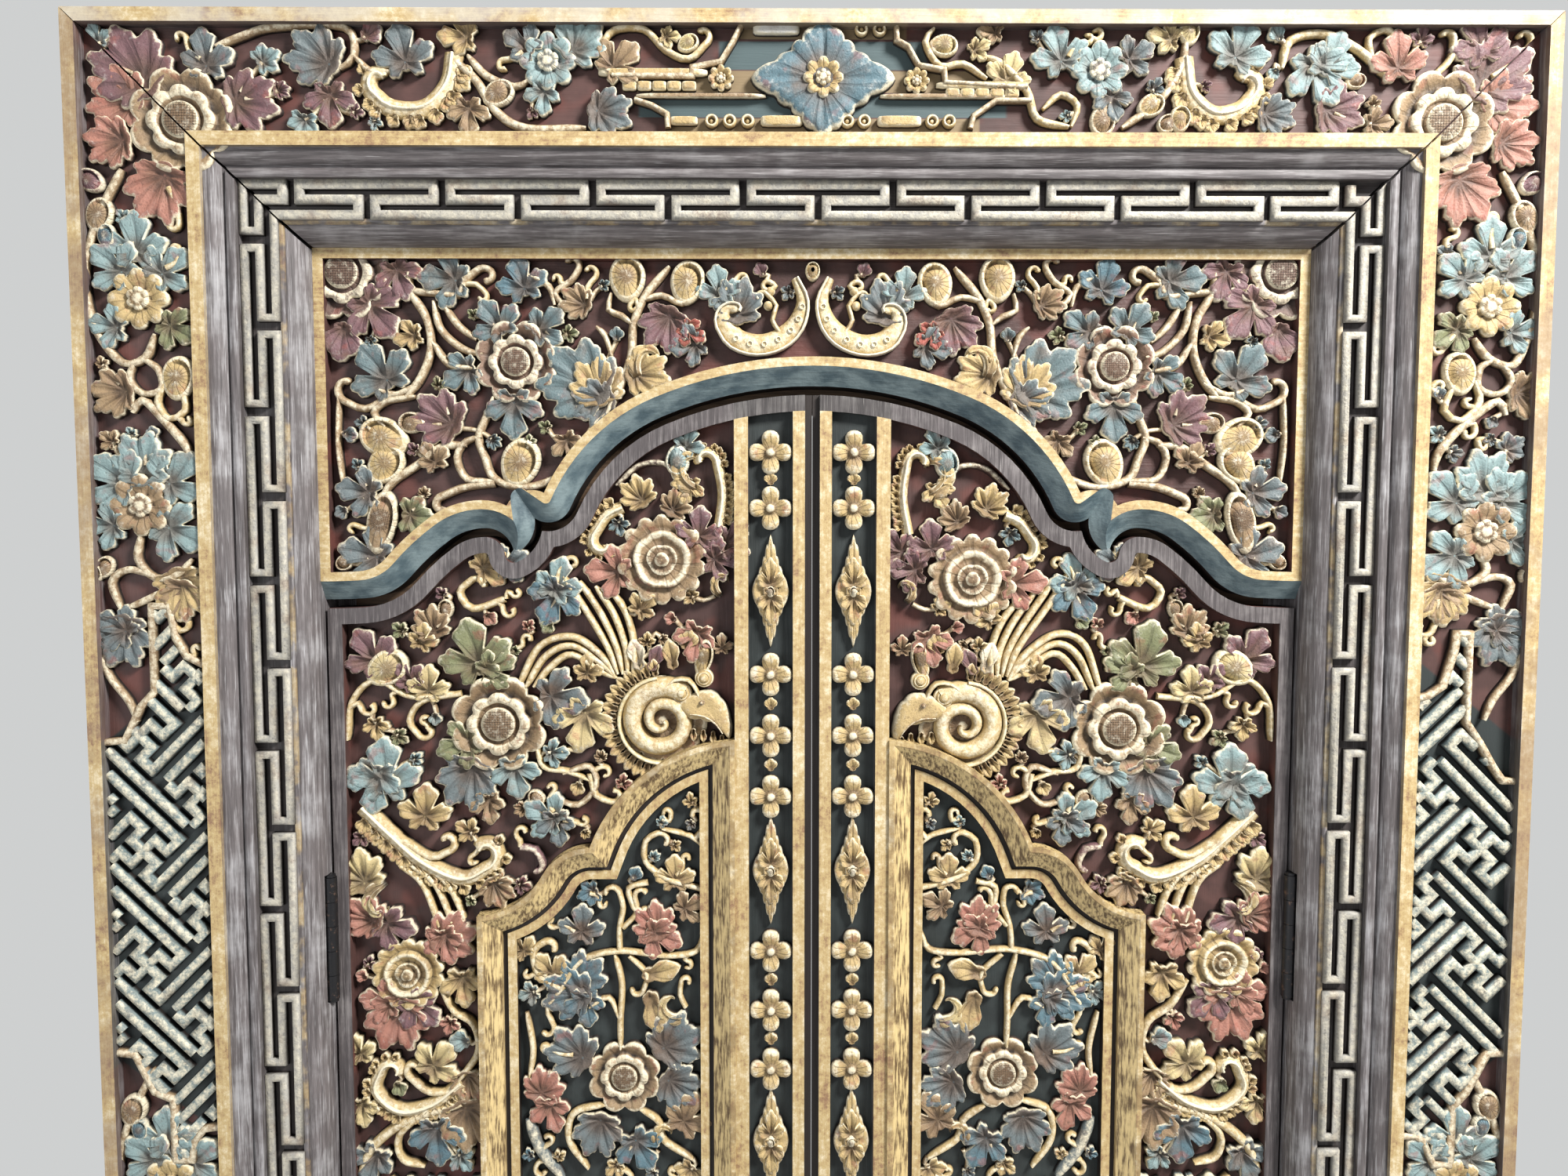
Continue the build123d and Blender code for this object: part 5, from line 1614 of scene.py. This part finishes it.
def jamb_band(side):
    """One jamb's foliage; side is -1 on the left."""
    band = Layout(relief=12)
    stem = band.stem
    band.many((
        ("fan", -650, 118, 44, -100, SALMON), ("bud", -682, 155, 13, -60, PLUM),
        ("fan", -612, 150, 58, 198, SALMON), ("bud", -674, 186, 16, 20, TAN),
        ("bud", -668, 206, 11, 0, BLUE), ("leaf", -656, 240, 38, -48, SEA), ("leaf", -642, 222, 42, 2, SEA),
        ("leaf", -618, 242, 36, 48, SEA), ("rosette", -640, 265, 29, 0, GOLD, 1.05),
        ("leaf", -662, 292, 30, -80, SEA), ("leaf", -612, 290, 30, 120, GREEN),
        ("bud", -605, 338, 20, 10, GOLD), ("fan", -656, 352, 42, -100, TAN),
        ("leaf", -660, 440, 44, -52, SEA), ("fan", -643, 432, 52, 0, SEA), ("leaf", -618, 440, 42, 42, SEA),
        ("rosette", -645, 460, 30, 0, TAN, 1.05), ("leaf", -672, 480, 32, -90, SEA),
        ("leaf", -620, 482, 42, 115, SEA), ("fan", -612, 530, 50, 165, GOLD),
        ("fan", -606, 540, 40, 200, TAN), ("fan", -666, 575, 52, 186, SLATE), ("bud", -690, 525, 8, 0, TAN),
        ("leaf", -665, 582, 34, -60, SLATE),
    ))
    upper = (-652, 145), (-672, 182), (-688, 225), (-690, 262)
    stem(upper + ((-680, 298), (-658, 325), (-636, 320), (-626, 298)), 8)
    stem(((-640, 320), (-624, 332), (-622, 350), (-640, 354), (-652, 340), (-645, 322)), 7)
    stem(((-602, 350), (-600, 370), (-616, 378), (-626, 362), (-618, 345)), 7, (0, 0), GOLD)
    stem(((-650, 372), (-640, 360), (-620, 380), (-600, 405), (-596, 420)), 9)
    stem(((-646, 488), (-650, 512), (-634, 530), (-612, 526), (-598, 512)), 8)
    stem(((-634, 528), (-660, 522), (-676, 534), (-668, 560)), 8)
    stem(((-620, 540), (-645, 552), (-664, 560)), 8)
    stem(((-690, 600), (-682, 625), (-664, 650), (-656, 670)), 7)
    if side > 0:
        band = band.other_side().nudged((
            (640, 265, 5, 6, 50), (645, 460, 6, 18, 60), (620, 480, -3, 14, 40), (656, 352, 18, 0, 40),
            (605, 338, 10, -6, 30),
        ))
    # The corner's own leaves aren't repeated, and nothing is set below the jamb's foot.
    below, upper_stems = band.marks[3:], band.stems[:8]
    stem_foot, leaf_foot, corner_foot = 70, 80, 1345
    for shift in (JAMB_RHYTHM, 2 * JAMB_RHYTHM - 20):
        for kind, x, y, *rest in below:
            if leaf_foot < y - shift < corner_foot:
                band.marks.append([kind, x, y - shift, *rest])
        for path, *rest in upper_stems:
            moved = path - (0, shift)
            if moved[:, 1].min() > stem_foot:
                band.stems.append([moved, *rest])
    lattices(band, side)
    corner(band, side)
    box = (588, 688) if side > 0 else (-688, -588)
    for high, low, seed in ((112, 600, 41), (1070, 1500, 42), (1940, 2284, 43)):
        band.fill(BAND_GROUND, (*box, high, low), seed + side, (SLATE, SEA, PLUM, TAN), 7, 22)
    return band

# %% Key lattice
LATTICE_UNIT = 16.2
KEY_ARMS = (
    ((0, 0), (0, 1), (1, 1), (1, 2), (-6, 2)), ((0, 0), (1, 0), (1, -1), (2, -1), (2, 6)),
    ((0, 0), (0, -1), (-1, -1), (-1, -2), (6, -2)), ((0, 0), (-1, 0), (-1, 1), (-2, 1), (-2, -6)),
)


def in_polygon(x, y, corners):
    """Whether a ray from the point crosses the outline an odd number of times."""
    inside = False
    for (ax, ay), (bx, by) in zip(corners, corners[1:] + corners[:1]):
        if (ay > y) != (by > y) and x < (bx - ax) * (y - ay) / (by - ay) + ax:
            inside = not inside
    return inside


def key_lattice(band, corners, start):
    """Crooked arms round centres on a turned grid, cut off at the field's edge."""
    unit = math.sqrt(0.5) * LATTICE_UNIT

    def to_door(a, b):
        return start[0] + (a + b) * unit, start[1] + (a - b) * unit

    for i in range(-8, 9):
        for j in range(-8, 9):
            right = (i + j) % 2 == 0
            for arm in KEY_ARMS:
                points = [(5 * i + (a if right else -a), 5 * j + b) for a, b in (arm if right else arm[:4])]
                run = []
                for (a, b), (c, d) in zip(points, points[1:]):
                    steps = int(4 * max(abs(c - a), abs(d - b)))
                    for k in range(steps):
                        spot = to_door(a + (c - a) * k / steps, b + (d - b) * k / steps)
                        corner_here = k == 0
                        if in_polygon(*spot, corners):
                            run.append((spot, corner_here))
                        else:
                            add_run(band, run)
                            run = []
                add_run(band, run)


def add_run(band, run):
    """Keep a run's ends and corners only."""
    if len(run) > 2:
        corners = [spot for spot, corner_here in run[1:-1] if corner_here]
        band.line([run[0][0], *corners, run[-1][0]], 10.5, LATTICE_GREY, 0.85)


LATTICE_FIELDS = {
    -1: (
        ((-590, 614), (-606, 606), (-616, 588), (-621, 557), (-638, 557), (-638, 640), (-652, 655),
         (-668, 688), (-688, 690)),
        ((-688, 1000), (-670, 1002), (-652, 1040), (-634, 1048), (-634, 1110), (-617, 1110), (-614, 1090),
         (-604, 1078), (-590, 1076)),
        (-655, 798),
    ),
    1: (
        ((590, 648), (600, 646), (614, 636), (624, 600), (626, 585), (638, 585), (638, 672), (652, 692),
         (666, 716), (676, 730), (688, 730)),
        ((688, 1005), (672, 1005), (652, 1045), (639, 1060), (639, 1120), (622, 1120), (610, 1094),
         (602, 1090), (590, 1090)),
        (657, 798),
    ),
}


def lattices(band, side):
    """Two fields of lattice on one jamb, each between a stepped top edge and a stepped foot."""
    top, foot, (x, down) = LATTICE_FIELDS[side]
    for shift in (0, JAMB_RHYTHM):
        edges = [[(u, v + shift) for u, v in edge] for edge in (top, foot)]
        for edge in edges:
            band.line(edge, 8, TAN, 0.9)
        key_lattice(band, edges[0] + edges[1], (x, down + shift))


edge_room = 8
head_limits = [mitre(-1, True), mitre(1, True), ((0, 0, door_top - edge_room), (0, 0, 1))]
carve(head_band(), "head_band_carving", BAND_GROUND, "frame", round_back, head_limits)
for side, hand in ((-1, "left"), (1, "right")):
    limits = [mitre(side, False), ((side * (door_half - edge_room), 0, 0), (side, 0, 0))]
    name = "jamb_band_carving_" + hand
    carve(jamb_band(side), name, BAND_GROUND, "frame", flat_ridge, limits)

# %% [markdown]
# ## The fret
# A running key pattern fills the inner groove of the frame. Three tracks lie side by side. The bar runs
# down the outer one, doubles back up the middle one, crosses to the inner one, and so on in turn. A
# joiner could glue up short strips. One swept line with mitred corners does the same and has no joints to
# line up.

# %% Running fret
def key_run(to_door, first, pitch, count, width):
    """One unbroken run: down a side track, back up the middle one, over to the other side."""
    run = Layout(relief=11)
    outer, middle, inner, gap = 154, 168.5, 183, 16
    path = [to_door(outer, first - pitch)]
    for k in range(count):
        start = first + k * pitch
        near, far = (inner, outer) if k % 2 else (outer, inner)
        path += [to_door(near, start + pitch - gap), to_door(middle, start + pitch - gap)]
        path += [to_door(middle, start), to_door(far, start)]
    run.line(path, width, PALE_BAR, 0.76)
    return run


for side, hand in ((-1, "left"), (1, "right")):
    run = key_run(lambda inset, along: (side * (door_half - inset), along), 132, 82, 26, 8.5)
    limits = [mitre(side, False)]
    carve(run, "fret_" + hand, FRET_GROUND, "frame", flat_ridge, limits, painted_fret)
run = key_run(lambda inset, along: (along, inset), -564, 72, 16, 10.6)
carve(run, "fret_head", FRET_GROUND, "frame", flat_ridge, head_limits[:2], painted_fret)

# %% [markdown]
# ## Screws and nails
# Slotted screws hold the hinge plates and forged nails hold the ledges. One small tree stands the same
# head on every point and turns it the way its surface faces. Dots of paint would be cheaper, but real
# heads stand proud of the wood and can be counted.

# %% Hinge screws and ledge nails
def head_form(name, reach, rise, slotted):
    """A low round head on the X-Y plane, with a slot across it where it is a screw."""
    points, faces = ring_form([ring_at(around(12), r, h, 0) for r, h in ((0.5, 1), (0.85, 0.8), (1, 0))], 12)
    across = np.abs(points[:, 0]) < 0.2
    points[:, 2] -= 0.6 * (across & (points[:, 2] > 0.5)) * slotted
    points = points[:, :3] * (reach * MM, reach * MM, rise * MM)
    mesh = bpy.data.meshes.new(name)
    mesh.from_pydata(points.tolist(), [], [list(map(int, face)) for face in faces])
    return placed(name, mesh)


def build_fastener():
    """The same head stood on every point, turned by the point's own turn."""
    tree, ports, source, add = new_tree(
        "fastener", "Heads", Points="Geometry", Head="Object", Paint="Material"
    )
    head = add("GeometryNodeObjectInfo", Object=source.outputs["Head"])
    turn = add("GeometryNodeInputNamedAttribute", {"data_type": "FLOAT_VECTOR"}, Name="turn")
    stand = add(
        "GeometryNodeInstanceOnPoints", Points=source.outputs["Points"],
        Instance=head.outputs["Geometry"], Rotation=turn.outputs[0],
    )
    real = add("GeometryNodeRealizeInstances", Geometry=stand.outputs[0])
    painted = add("GeometryNodeSetMaterial", Geometry=real.outputs[0], Material=source.outputs["Paint"])
    add("NodeGroupOutput", Heads=painted.outputs[0])
    return tree, ports


fastener, fastener_ports = build_fastener()


def fasten(name, places, head, body):
    """Stand a head at each place, given as a point in millimetres and the turn that faces it outwards."""
    dots = wire_object(name + "_dots", [Vector(point) * MM for point, _ in places])
    put_attribute(dots.data, "turn", "FLOAT_VECTOR", [turn for _, turn in places])
    settings = {"Head": head, "Paint": paints["hinge"]}
    piece = placed(name, grown(dots, fastener, fastener_ports, settings, name))
    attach(piece, body)
    return len(places)


def part_box(name):
    """A CAD part's lowest and highest corner, in millimetres."""
    corners = np.array([v.co for v in nodes[name].data.vertices]) / MM
    return corners.min(0), corners.max(0)


def screw_places(plate, face_x, turn):
    """Two rows of screws on a hinge plate, whose flat lies behind the knuckles."""
    low, high = part_box(plate)
    back, height = high[1], high[2] - low[2]
    rows = [(share, back - (8 if k % 2 else 20)) for k, share in enumerate((0.1, 0.3, 0.5, 0.7, 0.9))]
    return [((face_x, y, low[2] + share * height), turn) for share, y in rows]


def nail_places(ledge):
    """Nails in a zigzag along one ledge's back."""
    low, high = part_box(ledge)
    spots = []
    for k, x in enumerate(np.linspace(low[0] + 30, high[0] - 30, 8)):
        z = (low[2] + high[2]) / 2 + (20 if k % 2 else -20)
        spots.append(((x, high[1], z), (-math.pi / 2, 0, 0)))
    return spots


screw = head_form("screw_head", 3.6, 0.22, True)
nail = head_form("nail_head", 6.5, 2.4, False)
hinge_gap, half_gap = 490.5, 0.3
for side, hand in ((-1, "left"), (1, "right")):
    jamb_screws, leaf_screws, nails = [], [], []
    for height in ("lower", "middle", "upper"):
        inward, outward = (0, -side * math.pi / 2, 0), (0, side * math.pi / 2, 0)
        jamb_plate, leaf_plate = (f"hinge_{part}_plate_{hand}_{height}" for part in ("jamb", "leaf"))
        jamb_screws += screw_places(jamb_plate, side * (hinge_gap + half_gap), inward)
        leaf_screws += screw_places(leaf_plate, side * (hinge_gap - half_gap), outward)
        nails += nail_places(f"back_ledge_{hand}_{height}")
    count = fasten("jamb_screws_" + hand, jamb_screws, screw, "frame")
    count += fasten("leaf_screws_" + hand, leaf_screws, screw, "leaf_" + hand)
    print(hand, count, "screws,", fasten("ledge_nails_" + hand, nails, nail, "leaf_" + hand), "nails")

# %% [markdown]
# ## Clearing the bench
# The stock of motifs, the two sections, the screw and the nail were only tools, and every piece owns its
# mesh by now. They could be hidden instead, but a cleared bench leaves nothing to trip over later.

# %% Put the bench away
for shelf_motif in list(motif_shelf.objects):
    bpy.data.objects.remove(shelf_motif)
bpy.data.collections.remove(motif_shelf)
for tool in (round_back, flat_ridge, screw, nail):
    bpy.data.objects.remove(tool)

# %% [markdown]
# ## The floor
# A pale floor gives the door's shadow a place to fall. It belongs to the stage and not to the part. One
# quad is enough, since nothing of it is seen from close by.

# %% Floor
floor_mesh = bpy.data.meshes.new("floor")
floor_mesh.from_pydata([(-3, -3, 0), (3, -3, 0), (3, 1.4, 0), (-3, 1.4, 0)], [], [(0, 1, 2, 3)])
floor_mesh.materials.append(Paint("pale_floor").finish((0.50, 0.49, 0.48), 0.8))
floor = placed("floor", floor_mesh)
floor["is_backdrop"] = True
print("floor", [round(side, 1) for side in floor.dimensions])

# %% [markdown]
# ## Measuring
# The box round everything is set beside the box round the joinery alone, and printed. The carving stands
# in sunk grounds, so the two boxes should agree.

# %% Measure and finish
visual_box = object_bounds()
sizes = {"cad": [list(map(float, v)) for v in cad_box], "visual": [list(map(float, v)) for v in visual_box]}
print("visual box", sizes["visual"])
